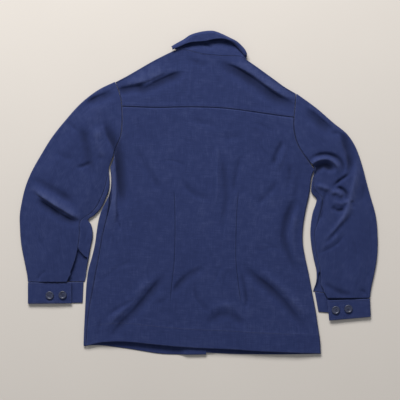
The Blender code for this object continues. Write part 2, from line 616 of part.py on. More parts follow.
def smooth_columns(place, column, where):
    """One column of a station table as a smooth function of the place along the sleeve."""
    slope = np.gradient(column, place)
    index = np.clip(np.searchsorted(place, where, side="right") - 1, 0, len(place) - 2)
    span = place[index + 1] - place[index]
    t = (where - place[index]) / span
    start = (2 * t ** 3 - 3 * t ** 2 + 1) * column[index] + (t ** 3 - 2 * t ** 2 + t) * span * slope[index]
    end = (3 * t ** 2 - 2 * t ** 3) * column[index + 1] + (t ** 3 - t ** 2) * span * slope[index + 1]
    return start + end


def make_sleeve(name, stations, armhole, armhole_front, flip):
    """One sleeve as a wall, its faces turned outwards whichever side it is on."""
    grid = sleeve_grid(stations, armhole, armhole_front, 18, 10, 6, 4)
    if flip:
        grid = grid[:, ::-1]
    return wall(name, grid, CLOTH)


def make_cuff(name, cuff, flip):
    """A cuff band of doubled cloth: underlap on the surface, turned at the outer fold, free end on top."""
    radius = CUFF_RADIUS
    near = radius + CUFF_CLOTH / 2
    columns = []
    for share in spread(3):
        start = to_array(cuff.under_top) * (1 - share) + to_array(cuff.under_foot) * share
        fold = to_array(cuff.fold_top) * (1 - share) + to_array(cuff.fold_foot) * share
        free = to_array(cuff.free_top) * (1 - share) + to_array(cuff.free_foot) * share
        out = unit(fold - start)
        back = unit(free - fold)
        turn_at = fold - out * near
        line = [np.append(start + (turn_at - start) * t, CUFF_CLOTH / 2) for t in spread(5)]
        for phi in np.linspace(0, np.pi, 6)[1:-1]:
            t = phi / np.pi
            side = out * (1 - t) - back * t
            place = (fold - out * near) * (1 - t) + (fold + back * near) * t + unit(side) * radius * np.sin(phi)
            line.append(np.append(place, CUFF_CLOTH / 2 + radius * (1 - np.cos(phi))))
        from_fold = fold + back * near
        line += [np.append(from_fold + (free - from_fold) * t, CUFF_CLOTH / 2 + 2 * radius) for t in spread(5)]
        columns.append(np.array(line))
    grid = np.stack(columns, axis=0)
    grid[0, :, 1] -= SEAM + 0.2
    if flip:
        grid = grid[:, ::-1]
    return wall(name, grid, CUFF_CLOTH)


# Collar columns from left to right: roll line, free edge of the fall and how high the roll rises
Roll = namedtuple("Roll", "rx ry fx fy rise")
COLLAR = (
    Roll(-67, 357, -64, 349, 8),
    Roll(-52, 366, -48, 356, 10),
    Roll(-36, 375, -32, 363, 13),
    Roll(-21, 385, -19, 367, 17),
    Roll(-3, 391, -3, 368.5, 19),
    Roll(15, 394.5, 15, 370, 20),
    Roll(36, 395, 34, 374, 20),
    Roll(56, 388, 53, 376, 19),
    Roll(75, 379, 70, 373, 17),
    Roll(94, 369, 87, 363, 14),
    Roll(111, 352, 103, 346, 11),
    Roll(118, 338, 112, 334, 7),
)


def make_collar(yoke):
    """The back of the collar: the stand from the yoke's neck edge to the roll, and the fall turned up over it."""
    columns = spread(23)
    held = (columns > NECK_FROM) & (columns < NECK_FROM + NECK_SHARE)
    edge = yoke[-1, held]
    between = (edge[:-1] + edge[1:]) / 2
    neck = np.insert(edge, np.arange(1, len(edge)), between, axis=0)
    away = inward_of(neck[:, :2], 1)
    seam = neck[:, :2] + away * (SEAM + 0.1)
    table = to_array(COLLAR)
    where = spread(len(seam))
    place = spread(len(table))
    value = np.stack([smooth_columns(place, table[:, k], where) for k in range(table.shape[1])], axis=1)
    radius = np.clip(value[:, 4] * 0.36, 1.3, 6.5)
    roll, free, rise = value[:, 0:2], value[:, 2:4], value[:, 4]
    out = unit(roll - seam)
    near = np.minimum(radius + COLLAR_CLOTH / 2, 0.45 * np.linalg.norm(roll - seam, axis=1))
    foot = roll - out * near[:, None]
    drop = (neck[:, 2] - COLLAR_FOOT) * fade(rise - 6, 9)
    rows = []
    for t in spread(5):
        flat = seam * (1 - t) + foot * t
        low = neck[:, 2] - drop * fade(np.array(t), 1.0)
        rows.append(np.concatenate((flat, low[:, None]), axis=1))
    floor = rows[-1][:, 2]
    for phi in np.linspace(0, 0.86 * np.pi, 6)[1:]:
        reach = foot + out * (near * np.sin(phi))[:, None]
        rows.append(np.concatenate((reach, (floor + radius * (1 - np.cos(phi)))[:, None]), axis=1))
    last = rows[-1]
    tip = np.concatenate((free, (last[:, 2] + rise * 0.25)[:, None]), axis=1)
    for t in spread(4)[1:]:
        rows.append(last * (1 - t) + tip * t + np.array([0, 0, 1.0]) * np.sin(np.pi * t))
    grid = np.stack(rows, axis=0)
    return wall("collar", grid, COLLAR_CLOTH)


def make_leaf(name, outline, flip):
    """A collar leaf, flat on the surface under its front."""
    points = to_array(outline)
    near = smooth_line(points[:3], spread(6))
    far = smooth_line(points[5:2:-1], spread(6))
    grid = np.stack([near * (1 - t) + far * t for t in spread(4)], axis=0)
    grid = np.concatenate((grid, np.full(grid.shape[:2] + (1,), COLLAR_CLOTH / 2)), axis=2)
    if flip:
        grid = grid[:, ::-1]
    return wall(name, grid, COLLAR_CLOTH)


def make_button(name, centre, foot, profile, sides):
    """A round button turned from a profile of (radius, height) from its underside to its face."""
    points = [(centre[0], centre[1], foot + profile[0][1])]
    turn = np.arange(sides) * 2 * np.pi / sides
    for radius, height in profile[1:-1]:
        points += [(centre[0] + radius * np.cos(a), centre[1] + radius * np.sin(a), foot + height) for a in turn]
    points.append((centre[0], centre[1], foot + profile[-1][1]))
    faces = []
    rings = len(profile) - 2
    for k in range(sides):
        after = (k + 1) % sides
        faces.append((0, 1 + after, 1 + k))
        for ring in range(rings - 1):
            low = 1 + ring * sides
            faces.append((low + k, low + after, low + sides + after, low + sides + k))
        low = 1 + (rings - 1) * sides
        faces.append((low + k, low + after, len(points) - 1))
    return make_object(name, points, faces, BUTTON_NAVY, 0.4)


CUFF_BUTTON = ((0, 0), (7.0, 0), (9.4, 0.7), (10, 1.7), (9.3, 3.0), (7.4, 3.2), (6.2, 2.3), (0, 2.2))
FRONT_BUTTON = ((0, 0), (9.2, 0), (10, 0.9), (10, 1.7), (9.2, 2.6), (0, 2.6))
CUFF_BUTTONS = {
    "cuff_button_left_outer": (-364, -250),
    "cuff_button_left_inner": (-332.5, -249),
    "cuff_button_right_inner": (334.5, -286),
    "cuff_button_right_outer": (365.5, -283),
}
FRONT_BUTTON_ROWS = (232, 117, 2, -113, -228)


def make_buttons():
    """Two buttons on each cuff, and the front's buttons between the placket and the surface."""
    top = CUFF_CLOTH + 2 * CUFF_RADIUS + SEAM
    for name, centre in CUFF_BUTTONS.items():
        make_button(name, centre, top, CUFF_BUTTON, 20)
    for number, y in enumerate(FRONT_BUTTON_ROWS, start=1):
        make_button(f"front_button_{number}", (CENTRE_X, y), 0.0, FRONT_BUTTON, 16)


def main():
    """Clears the scene and makes every piece of the jacket."""
    for thing in list(bpy.data.objects):
        bpy.data.objects.remove(thing, do_unlink=True)
    make_back()
    yoke = yoke_grid()
    wall("back_yoke", yoke, CLOTH)
    make_fronts()
    make_sleeve("sleeve_left", SLEEVE_LEFT, ARMHOLE_LEFT, ARMHOLE_FRONT_LEFT, False)
    make_sleeve("sleeve_right", SLEEVE_RIGHT, ARMHOLE_RIGHT, ARMHOLE_FRONT_RIGHT, True)
    make_cuff("cuff_left", CUFF_LEFT, False)
    make_cuff("cuff_right", CUFF_RIGHT, True)
    make_collar(yoke)
    make_leaf("collar_leaf_left", LEAF_LEFT, False)
    make_leaf("collar_leaf_right", LEAF_RIGHT, True)
    make_buttons()


main()
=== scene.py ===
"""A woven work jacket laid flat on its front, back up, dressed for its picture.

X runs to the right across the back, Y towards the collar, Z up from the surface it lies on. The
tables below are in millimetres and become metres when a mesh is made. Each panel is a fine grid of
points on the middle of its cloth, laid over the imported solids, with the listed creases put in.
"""
from collections import namedtuple

import bpy
import numpy as np
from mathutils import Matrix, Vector
from mathutils.bvhtree import BVHTree


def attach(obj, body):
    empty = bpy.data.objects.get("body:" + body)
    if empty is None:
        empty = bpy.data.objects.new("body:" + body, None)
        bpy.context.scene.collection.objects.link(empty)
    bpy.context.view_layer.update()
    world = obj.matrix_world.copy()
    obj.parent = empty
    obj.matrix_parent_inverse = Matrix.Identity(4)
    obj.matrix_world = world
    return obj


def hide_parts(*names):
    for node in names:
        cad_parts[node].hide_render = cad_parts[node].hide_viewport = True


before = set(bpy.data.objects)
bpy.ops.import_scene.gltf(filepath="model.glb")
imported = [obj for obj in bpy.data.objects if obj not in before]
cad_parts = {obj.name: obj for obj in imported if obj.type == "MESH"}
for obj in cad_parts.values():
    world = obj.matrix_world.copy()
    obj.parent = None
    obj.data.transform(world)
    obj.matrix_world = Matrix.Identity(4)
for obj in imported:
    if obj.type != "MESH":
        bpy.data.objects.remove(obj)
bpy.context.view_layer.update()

bl_info = {
    "name": "Laid Work Jacket",
    "version": (1, 0, 0),
    "blender": (4, 5, 0),
    "location": "3D View > Sidebar > Jacket",
    "description": "Makes the cloth, seams, stitches and buttons of a work jacket laid flat",
    "category": "Object",
}

# Driving sizes, millimetres
MM = 0.001
CLOTH = 1.2
CUFF_CLOTH = 2.2
COLLAR_CLOTH = 1.6
SEAM = 0.3
SEAM_ARMHOLE = 0.9
SEAM_ARMHOLE_LOW = 4.0
EDGE_RADIUS = 2.5
CUFF_RADIUS = 2.6
BODY_DOME = 4.0
SLEEVE_DOME = 4.0
PLACKET_HALF = 25.0
PLACKET_LIFT = 2.9
CENTRE_X = -2.0
NECK_FROM = 0.30
NECK_SHARE = 0.43
COLLAR_FOOT = 2.6
UNDERARM = 0.72
HEM_DEEP = 47.0
SHORT_TURN = np.pi / 2 - 0.3
SHOULDER_TURN = np.pi / 2 - 0.6
CUFF_STITCH = 3.5
HOLE_RING = 1.9
FLOOR_HALF = 4000.0
FLOOR_DROP = 0.6

# How far the flat pattern of a cloth's inner face lies from that of its outer face
OTHER_FACE = 700.0

# Lines drawn on the cloth: each a short list of (x, y)
SIDE_SEAM_LEFT = ((-275, -374), (-272, -323), (-267, -280), (-259, -238), (-251, -194),
                  (-243, -152), (-236, -110), (-227, -71), (-219, -37), (-213, -7),
                  (-212, 17), (-213, 42), (-216, 64))
EDGE_LEFT = ((-282, -374), (-281, -341), (-279, -301), (-277, -262), (-274, -216), (-269, -184),
             (-262, -159), (-254, -125), (-250, -96), (-245, -66), (-238, -43), (-227, -20),
             (-218, 2), (-216, 22), (-217, 44), (-219, 64))
EDGE_RIGHT = ((299, -393), (297, -360), (292, -326), (287, -292), (282, -265), (276, -233),
              (268, -191), (260, -154), (255, -123), (255, -91), (259, -59), (265, -29),
              (271, -2), (274, 22), (277, 42), (284, 57))
ARMHOLE_LEFT = ((-216, 64), (-201, 110), (-190, 142), (-187, 175), (-188, 211), (-190, 230),
                (-195, 247), (-204, 271))
ARMHOLE_RIGHT = ((284, 57), (262, 88), (243, 118), (234, 150), (233, 184), (236, 212), (238, 243))
ARMHOLE_FRONT_LEFT = ((-219, 64), (-208, 92), (-196, 128), (-189, 170), (-190, 215), (-204, 271))
ARMHOLE_FRONT_RIGHT = ((284, 57), (270, 80), (250, 112), (238, 150), (234, 198), (238, 243))
HEM_BACK = ((-275, -374), (-242, -366), (-205, -363), (-168, -364), (-119, -369), (-58, -375),
            (3, -379), (77, -382), (150, -387), (224, -390), (299, -393))
HEM_FRONT_LEFT = ((-282, -374), (-242, -373), (-205, -377), (-168, -382), (-132, -388),
                  (-100, -393), (-40, -395.5), (18, -395))
HEM_FRONT_RIGHT = ((-22, -387), (40, -392), (89, -394.5), (126, -395), (199, -395.5), (299, -394))
YOKE_SEAM = ((-188, 211), (-144, 209), (-95, 208), (-46, 209), (3, 209), (52, 207), (101, 202),
             (150, 195), (199, 188), (233, 184))
SHOULDER_LEFT = ((-204, 271), (-181, 283), (-144, 304), (-107, 325), (-63, 347))
SHOULDER_RIGHT = ((118, 325), (140, 310), (162, 294), (187, 276), (211, 259), (238, 243))
NECK_BACK = ((-63, 347), (-49, 350.5), (-36, 351), (-22, 348), (-4, 343), (15, 339), (40, 336.5),
             (58, 335), (79, 336), (100, 334), (118, 325))
NECK_FRONT_LEFT = ((18, 262), (2, 264), (-22, 276), (-42, 302), (-63, 347))
NECK_FRONT_RIGHT = ((-22, 262), (30, 258), (68, 266), (98, 290), (118, 325))

# Stations of a sleeve from armhole to cuff: outer fold A, inner fold B, how much of the
# armhole's bow the section keeps, how wide the lower layer wraps over the inner fold to the
# underarm seam, how wide the slit stands open, how far the upper layer's free end swings, and how
# much of a half turn the inner fold makes
Station = namedtuple("Station", "ax ay bx by hug wrap slit swing turn")
SLEEVE_LEFT = (
    Station(-204, 272, -220.5, 62, 1, 3, 0, 0, 1),
    Station(-242, 254, -220.5, 54, 0.62, 4, 0, 0, 1),
    Station(-284, 223, -219.2, 45, 0.3, 5, 0, 0, 1),
    Station(-325, 179, -218.4, 34, 0.12, 6, 0, 0, 1),
    Station(-360, 135, -218, 21, 0.03, 7, 0, 0, 1),
    Station(-386, 93, -220, 6, 0, 8, 0, 0, 1),
    Station(-408, 54, -227.5, -14, 0, 8, 0, 0, 1),
    Station(-424, 15, -239, -37, 0, 8, 0, 0, 1),
    Station(-433, -22, -254, -54, 0, 9, 0, 0, 1),
    Station(-438, -55, -270, -66, 0, 12, 0, 0, 1),
    Station(-437.5, -85, -263, -78, 0, 26, 0, 0, 1),
    Station(-435, -120, -259, -106, 0, 30, 0, 0, 1),
    Station(-431, -145, -264, -131, 0, 28, 0.3, 0, 1),
    Station(-427, -164, -268, -154, 0, 19, 10, 0, 0.95),
    Station(-423, -184, -273, -179, 0, 8, 24, 0, 0.6),
    Station(-419, -206, -278, -205, 0, 1, 36, 0, 0.15),
    Station(-418, -217.5, -280, -217.5, 0, 0.5, 39, 0, 0),
)
SLEEVE_RIGHT = (
    Station(238, 243, 286, 61, 1, 5, 0, 0, 1),
    Station(288, 207, 285, 53, 0.55, 5, 0, 0, 1),
    Station(330, 171, 281.5, 43, 0.25, 5, 0, 0, 1),
    Station(362, 145, 278, 32, 0.1, 5, 0, 0, 1),
    Station(381, 118, 276, 19, 0.03, 4, 0, 0, 1),
    Station(392, 92, 275, 6, 0, 6, 0, 0, 1),
    Station(402, 60, 278, -3, 0, 8, 0, 0, 1),
    Station(411, 25, 288, -14, 0, 10, 0, 0, 1),
    Station(420, -8, 286, -28, 0, 14, 0, 0, 1),
    Station(430, -42, 279, -48, 0, 16, 0, 0, 1),
    Station(435, -68, 275, -70, 0, 14, 0, 0, 1),
    Station(437.5, -100, 273, -98, 0, 6, 0, 0, 1),
    Station(438, -135, 276, -132, 0, 6, 0, 0, 1),
    Station(435, -169, 282, -164, 0, 6, 0, 0, 1),
    Station(429, -201, 288, -191, 0, 6, 0, 0, 1),
    Station(422, -233, 287, -219, 0, 3, 6, -4, 0.5),
    Station(419, -257, 281, -241, 0, 0.5, 33, -16, 0),
)

# Cuff bands, upper and lower edge along the band from the underlap, round the outer fold, to the
# free end that carries the buttons
Cuff = namedtuple("Cuff", "under_top under_foot fold_top fold_foot free_top free_foot")
CUFF_LEFT = Cuff((-282, -218), (-284.5, -269), (-418, -218), (-418, -271), (-311, -218), (-311, -270))
CUFF_RIGHT = Cuff((284, -241.5), (293, -291), (419, -258), (421, -303), (314, -262), (319, -312))

# The collar leaves under the fronts
LEAF_LIFT = 2.3
LEAF_LEFT = ((-64, 339), (-46, 298), (-24, 266), (-90, 244), (-106, 280), (-102, 314))
LEAF_RIGHT = ((117, 315), (96, 284), (68, 259), (124, 228), (146, 252), (152, 280))

CUFF_BUTTON = ((0, 0), (7.0, 0), (9.4, 0.7), (10, 1.7), (9.3, 3.0), (7.4, 3.2), (6.2, 2.3), (0, 2.2))
FRONT_BUTTON = ((0, 0), (9.2, 0), (10, 0.9), (10, 1.7), (9.2, 2.6), (0, 2.6))
CUFF_BUTTONS = {
    "cuff_button_left_outer": (-364, -250),
    "cuff_button_left_inner": (-332.5, -249),
    "cuff_button_right_inner": (334.5, -286),
    "cuff_button_right_outer": (365.5, -283),
}
FRONT_BUTTON_ROWS = (232, 117, 2, -113, -228)

# Collar columns from left to right: roll line, free edge of the fall, how high the roll rises, and
# how far the free edge stands over the roll's end
Roll = namedtuple("Roll", "rx ry fx fy rise end")
COLLAR = (
    Roll(-67, 357, -64, 349, 8, 2),
    Roll(-52, 366, -48, 356, 10, 2.5),
    Roll(-36, 375, -32, 363, 13, 3.5),
    Roll(-21, 385, -19, 367, 17, 4.5),
    Roll(-3, 391, -3, 368.5, 19, 5),
    Roll(15, 394.5, 15, 370, 20, 5),
    Roll(36, 395, 34, 374, 20, 5),
    Roll(56, 388, 53, 376, 19, 4),
    Roll(75, 379, 70, 373, 17, 0),
    Roll(94, 369, 87, 363, 14, -3),
    Roll(111, 352, 103, 346, 11, -3),
    Roll(118, 338, 112, 334, 7, -2),
)

# Waist darts in the lower back
DART_LEFT = ((-61, 15), (-59, -17), (-58, -115), (-60, -169), (-66, -225), (-70, -270))
DART_RIGHT = ((99, 17), (95, -17), (91, -103), (91, -169), (97, -225), (102, -262))

# Creases: the width on the left and on the right of the line, the height (a trough is negative), the
# sideways pull towards the left, and the line
Crease = namedtuple("Crease", "left right height pull path")
SHOULDER_CREASES = (
    # right shoulder
    Crease(9, 15, -6.5, 4, ((37, 323), (67, 309), (101, 294), (130, 274), (155, 255), (177, 240),
        (206, 223), (231, 213), (255, 216))),
    Crease(14, 9, 4.5, -5, ((57, 328), (91, 316), (126, 299), (155, 279), (184, 260), (219, 238),
        (248, 230))),
    Crease(10, 14, -4.5, 2, ((255, 208), (277, 189), (302, 169), (331, 147))),
    Crease(10, 9, 3, -2, ((258, 225), (292, 203), (326, 176), (358, 152))),
    # left shoulder
    Crease(8, 10, -5.5, 3, ((-203, 245), (-178, 251), (-154, 255), (-124, 260))),
    Crease(7, 12, -5.5, 3, ((-159, 241), (-129, 252), (-102, 266), (-75, 279), (-48, 289), (-24, 292))),
    Crease(14, 9, 3.5, -4, ((-198, 265), (-159, 274), (-124, 282), (-95, 296), (-56, 309))),
    Crease(8, 12, -4, 2, ((-281, 216), (-257, 228), (-232, 236), (-203, 245))),
    Crease(10, 8, 2.5, -2, ((-271, 240), (-242, 255), (-208, 267))),
    # from the left sleeve into the back
    Crease(14, 7, -7, -4, ((-239, 198), (-227, 167), (-215, 137), (-203, 113), (-197, 86), (-193, 51),
        (-190, 12), (-188, -24), (-193, -51))),
)
BACK_CREASES = (
    # left side
    Crease(6, 12, 5, 4, ((-217, 115), (-211, 81), (-209, 37), (-208, -17), (-208, -56), (-213, -100))),
    Crease(3, 3, -2.6, 0, ((-198, -44), (-197, -69), (-187, -91))),
    Crease(2.5, 2.5, -1.1, 0, ((-178, -59), (-171, -81), (-166, -103))),
    Crease(2.5, 2.5, -0.9, 0, ((-161, -69), (-159, -88), (-146, -105))),
    Crease(3, 3, -1.3, 0, ((-217, -96), (-220, -120), (-222, -145))),
    Crease(3, 3, -1.2, 0, ((-205, -105), (-210, -132), (-210, -154))),
    Crease(3, 3, -1, 0, ((-195, -110), (-198, -135), (-200, -149))),
    Crease(3, 3, 0.9, 0, ((-230, -71), (-239, -115), (-249, -159))),
    # neck and yoke
    Crease(7, 9, -2, 0, ((-36, 333), (-14, 323), (6, 314), (30, 316))),
    Crease(2.5, 2.5, -0.9, 0, ((-29, 287), (-30, 247), (-28, 208), (-26, 174))),
    Crease(3, 3, 0.8, 0, ((-17, 336), (-20, 289), (-21, 228), (-19, 198))),
    Crease(5, 5, -0.7, 0, ((-66, 235), (-56, 221), (-51, 203))),
    Crease(6, 6, -0.8, 0, ((81, 208), (108, 206), (135, 201))),
    # upper back
    Crease(8, 10, -1.9, 0, ((-156, 120), (-141, 88), (-122, 56), (-102, 22), (-85, -7))),
    Crease(3, 3, -0.9, 0, ((-92, 78), (-66, 78), (-43, 71), (-31, 59))),
    Crease(5, 8, -1.7, 0, ((-43, 42), (-31, 17), (-12, 0), (10, -10), (37, -22))),
    Crease(8, 7, -2.6, 0, ((52, 110), (58, 76), (64, 32), (67, -12), (62, -56), (55, -105))),
    Crease(6, 6, -2.1, 0, ((104, 98), (96, 66), (88, 29), (84, -10))),
    Crease(5, 5, 1.6, 0, ((48, 135), (45, 86), (46, 32), (47, -32))),
    Crease(10, 10, -1.1, 0, ((55, 127), (81, 137), (116, 135))),
    Crease(6, 6, -3.4, 0, ((208, 132), (199, 113), (188, 91), (182, 59))),
    Crease(6, 6, 1.8, 0, ((214, 113), (204, 86), (194, 56))),
    Crease(3, 3, -0.8, 0, ((133, 135), (153, 110), (175, 83))),
    Crease(7, 7, -2, 0, ((221, 76), (222, 42), (216, 5))),
    Crease(7, 7, -1.5, 0, ((243, 54), (241, 20), (231, -17))),
    Crease(5, 5, -0.8, 0, ((-141, 196), (-145, 167), (-134, 137), (-124, 108))),
    Crease(7, 8, -1.3, 0, ((-31, 186), (-7, 176), (18, 169), (50, 159))),
    Crease(8, 8, -1.9, 0, ((197, 34), (170, -2), (135, -34))),
    Crease(3, 3, -0.8, 0, ((-107, -15), (-95, -29), (-80, -47))),
    Crease(6, 6, -0.7, 0, ((128, 179), (157, 162), (189, 149))),
    # right side
    Crease(9, 10, -3.9, -1, ((251, 12), (231, -29), (215, -71), (210, -113), (219, -145), (236, -179),
        (258, -216))),
    Crease(8, 8, 2.6, 0, ((251, -27), (235, -71), (230, -115), (241, -159), (258, -194))),
    Crease(3, 3, -1, 0, ((126, -130), (153, -140), (177, -132), (211, -140))),
    Crease(3, 3, -0.8, 0, ((155, -115), (170, -125), (182, -123))),
    # lower right
    Crease(7, 12, -4.6, 2, ((101, -174), (135, -203), (172, -233), (206, -265), (238, -304), (277, -345))),
    Crease(10, 7, 3, -2, ((140, -179), (175, -208), (211, -240), (243, -277), (275, -314))),
    Crease(5, 4, -3, 0, ((102, -191), (110, -223), (116, -255), (113, -292))),
    Crease(4, 5, 1.4, 0, ((121, -198), (128, -233), (130, -262))),
    # lower left
    Crease(12, 7, -4.6, -2, ((-78, -191), (-100, -221), (-129, -257), (-161, -294), (-190, -321),
        (-222, -365))),
    Crease(7, 10, 3, 2, ((-105, -196), (-139, -235), (-173, -272), (-205, -304), (-235, -338))),
    Crease(5, 5, -2.1, 0, ((-137, -230), (-168, -265), (-200, -284), (-235, -311))),
    Crease(5, 5, -1.6, 0, ((-237, -301), (-244, -333), (-249, -365))),
    Crease(6, 6, -1, 0, ((-151, -162), (-203, -186), (-244, -221))),
    Crease(10, 6, -3.3, -1, ((20, -184), (-7, -191), (-34, -208), (-56, -233), (-70, -255))),
    Crease(5, 5, -1, 0, ((-70, -255), (-90, -265), (-117, -272))),
    # lower centre
    Crease(6, 6, -1.9, 0, ((-9, -211), (-6, -252), (13, -279), (37, -292))),
    Crease(8, 12, -2.8, 0, ((8, -323), (35, -306), (69, -296), (99, -311), (123, -331))),
    Crease(8, 8, 1.6, 0, ((15, -294), (57, -274), (99, -282))),
    Crease(4, 4, -1, 0, ((57, -169), (45, -203), (30, -235))),
    Crease(4, 4, -0.8, 0, ((74, -181), (64, -213), (59, -238))),
    Crease(6, 6, -0.8, 0, ((1, -110), (20, -140), (37, -169))),
)
LEFT_SLEEVE_CREASES = (
    # elbow fold
    Crease(9, 6, 6.5, -4, ((-413, 17), (-377, -7), (-345, -27), (-311, -49), (-276, -71))),
    Crease(5, 12, -6, 3, ((-401, -12), (-364, -37), (-328, -60), (-288, -78))),
    Crease(10, 10, -3, 0, ((-411, 42), (-377, 20), (-340, -2), (-293, -32))),
    # upper sleeve
    Crease(5, 5, -2.6, 0, ((-303, 61), (-281, 66), (-257, 78))),
    Crease(12, 12, -3.2, 0, ((-318, 162), (-286, 149), (-274, 110), (-264, 69), (-244, 29))),
    Crease(12, 12, 3.2, 0, ((-244, 169), (-247, 120), (-232, 81))),
    Crease(8, 8, -1.2, 0, ((-355, 105), (-325, 86), (-301, 81))),
    Crease(3, 3, -1.4, 0, ((-325, 184), (-308, 162), (-293, 149))),
    # lower sleeve
    Crease(4, 4, -1.1, 0, ((-396, -218), (-384, -198), (-367, -189))),
    Crease(6, 6, -0.9, 0, ((-409, -71), (-389, -105), (-379, -145))),
    Crease(5, 5, -0.8, 0, ((-350, -96), (-340, -130), (-342, -169))),
    Crease(3, 3, -1.4, 0, ((-281, -76), (-276, -98), (-279, -123))),
)
RIGHT_SLEEVE_CREASES = (
    # swirl at the elbow
    Crease(5, 5, -5, 0, ((268, 78), (290, 91), (312, 94), (334, 88), (349, 74), (353, 56), (344, 39))),
    Crease(5, 5, 5, -2, ((268, 56), (280, 75), (307, 85), (329, 78), (341, 61), (336, 44))),
    Crease(8, 8, -9, 0, ((277, 39), (290, 59), (307, 66), (324, 59), (331, 47))),
    Crease(4, 4, -4.6, 0, ((375, 51), (358, 39), (341, 27), (326, 12))),
    Crease(4, 5, -5, 0, ((331, 15), (349, 10), (361, -2), (363, -22))),
    Crease(6, 6, 4.6, 0, ((319, 0), (339, 1), (353, -10))),
    Crease(5, 5, -4.2, 0, ((322, -32), (341, -43), (361, -39))),
    Crease(5, 5, 2.6, 0, ((326, -20), (349, -26), (371, -17))),
    Crease(4, 4, -3, 0, ((375, -17), (379, -39))),
    # outer folds
    Crease(9, 7, -6.2, -2, ((349, 152), (358, 123), (367, 93), (371, 64), (363, 42))),
    Crease(8, 8, 4.6, -3, ((385, 115), (391, 74), (385, 32), (375, -7), (366, -44), (349, -74),
        (322, -103), (292, -123))),
    Crease(8, 8, -2.6, 0, ((410, 66), (406, 20), (400, -32))),
    Crease(5, 5, -1.6, 0, ((314, 145), (346, 145), (373, 130))),
    Crease(2.2, 2.2, -0.8, 0, ((415, -42), (420, -91), (423, -135), (424, -174))),
    # below the elbow
    Crease(6, 4, -2.6, 0, ((378, -47), (356, -74), (334, -98), (309, -125))),
    Crease(4, 4, -1.6, 0, ((361, -96), (339, -123), (312, -140), (285, -149))),
    Crease(4, 4, 1.4, 0, ((349, -93), (326, -118), (300, -135))),
    Crease(7, 7, -2.6, 0, ((300, -211), (324, -233), (351, -245), (378, -252))),
    Crease(5, 5, -2, 0, ((393, -235), (415, -250))),
    Crease(7, 7, -1.2, 0, ((375, -110), (385, -154), (380, -194))),
    # inner edge
    Crease(4, 4, -4.2, 0, ((273, 20), (287, -5), (297, -20))),
    Crease(5, 4, -3.2, 0, ((314, 10), (304, -24), (298, -59), (287, -83))),
    Crease(6, 6, 3.6, 0, ((282, 22), (307, 12), (326, 7))),
    Crease(3, 3, -1.6, 0, ((277, -47), (290, -69))),
)
COLLAR_CREASES = (
    Crease(5, 5, -3, 0, ((8, 374), (22, 361), (37, 350))),
)


def to_array(points):
    """The listed points as an array of rows."""
    return np.array(points, dtype=float)


def spread(count, start=0.0, end=1.0):
    """Evenly spaced fractions."""
    return np.linspace(start, end, count)


def graded(count, fine, share):
    """Fractions from 0 to 1 with fine extra steps inside the first and the last share."""
    middle = spread(count, share, 1 - share)
    return np.concatenate((spread(fine, 0, share)[:-1], middle, spread(fine, 1 - share, 1)[1:]))


def unit(vectors):
    """Vectors scaled to length 1."""
    return vectors / np.maximum(np.linalg.norm(vectors, axis=-1, keepdims=True), 1e-12)


def hermite(place, column, where):
    """A Hermite cubic through the column's values at place.

    Its slope at each place is the mean of the slopes of the neighbouring stretches.
    """
    slope = np.gradient(column, place, axis=0)
    index = np.clip(np.searchsorted(place, where, side="right") - 1, 0, len(place) - 2)
    span = place[index + 1] - place[index]
    t = (where - place[index]) / span
    if column.ndim > 1:
        span, t = span[:, None], t[:, None]
    start = (2 * t ** 3 - 3 * t ** 2 + 1) * column[index] + (t ** 3 - 2 * t ** 2 + t) * span * slope[index]
    end = (3 * t ** 2 - 2 * t ** 3) * column[index + 1] + (t ** 3 - t ** 2) * span * slope[index + 1]
    return start + end


def smooth_line(points, where):
    """A smooth line through the points, read at the fractions where, on chord length."""
    points = to_array(points)
    step = np.linalg.norm(np.diff(points, axis=0), axis=1)
    length = np.concatenate(([0.0], np.cumsum(step)))
    return hermite(length, points, np.clip(np.asarray(where, dtype=float), 0.0, 1.0) * length[-1])


def joined_line(parts, shares, where):
    """Several smooth lines end to end, each taking its share of the fractions where."""
    edges = np.concatenate(([0.0], np.cumsum(shares)))
    edges /= edges[-1]
    where = np.asarray(where, dtype=float)
    result = np.zeros((len(where), len(parts[0][0])))
    for number, part in enumerate(parts):
        inside = (where >= edges[number] - 1e-9) & (where <= edges[number + 1] + 1e-9)
        local = (where[inside] - edges[number]) / (edges[number + 1] - edges[number])
        result[inside] = smooth_line(part, local)
    return result


def patch(low, high, left, right, across, along):
    """A Coons patch between four border lines, points in rows from low to high.

    P = (1-v) low + v high + (1-u) left + u right, less the bilinear patch of the four corners.
    """
    u = across[None, :, None]
    v = along[:, None, None]
    ruled = (1 - v) * low[None] + v * high[None] + (1 - u) * left[:, None] + u * right[:, None]
    corner = (1 - u) * (1 - v) * low[0] + u * (1 - v) * low[-1] + (1 - u) * v * high[0] + u * v * high[-1]
    return ruled - corner


def fade(distance, reach):
    """Rises smoothly from 0 at distance 0 to 1 at reach."""
    t = np.clip(distance / reach, 0.0, 1.0)
    return t * t * (3 - 2 * t)


def soft_floor(height, floor, soft):
    """The height, kept above the floor by floor + soft * log(1 + exp((height - floor) / soft))."""
    return floor + soft * np.log1p(np.exp(np.clip((height - floor) / soft, -30, 30)))


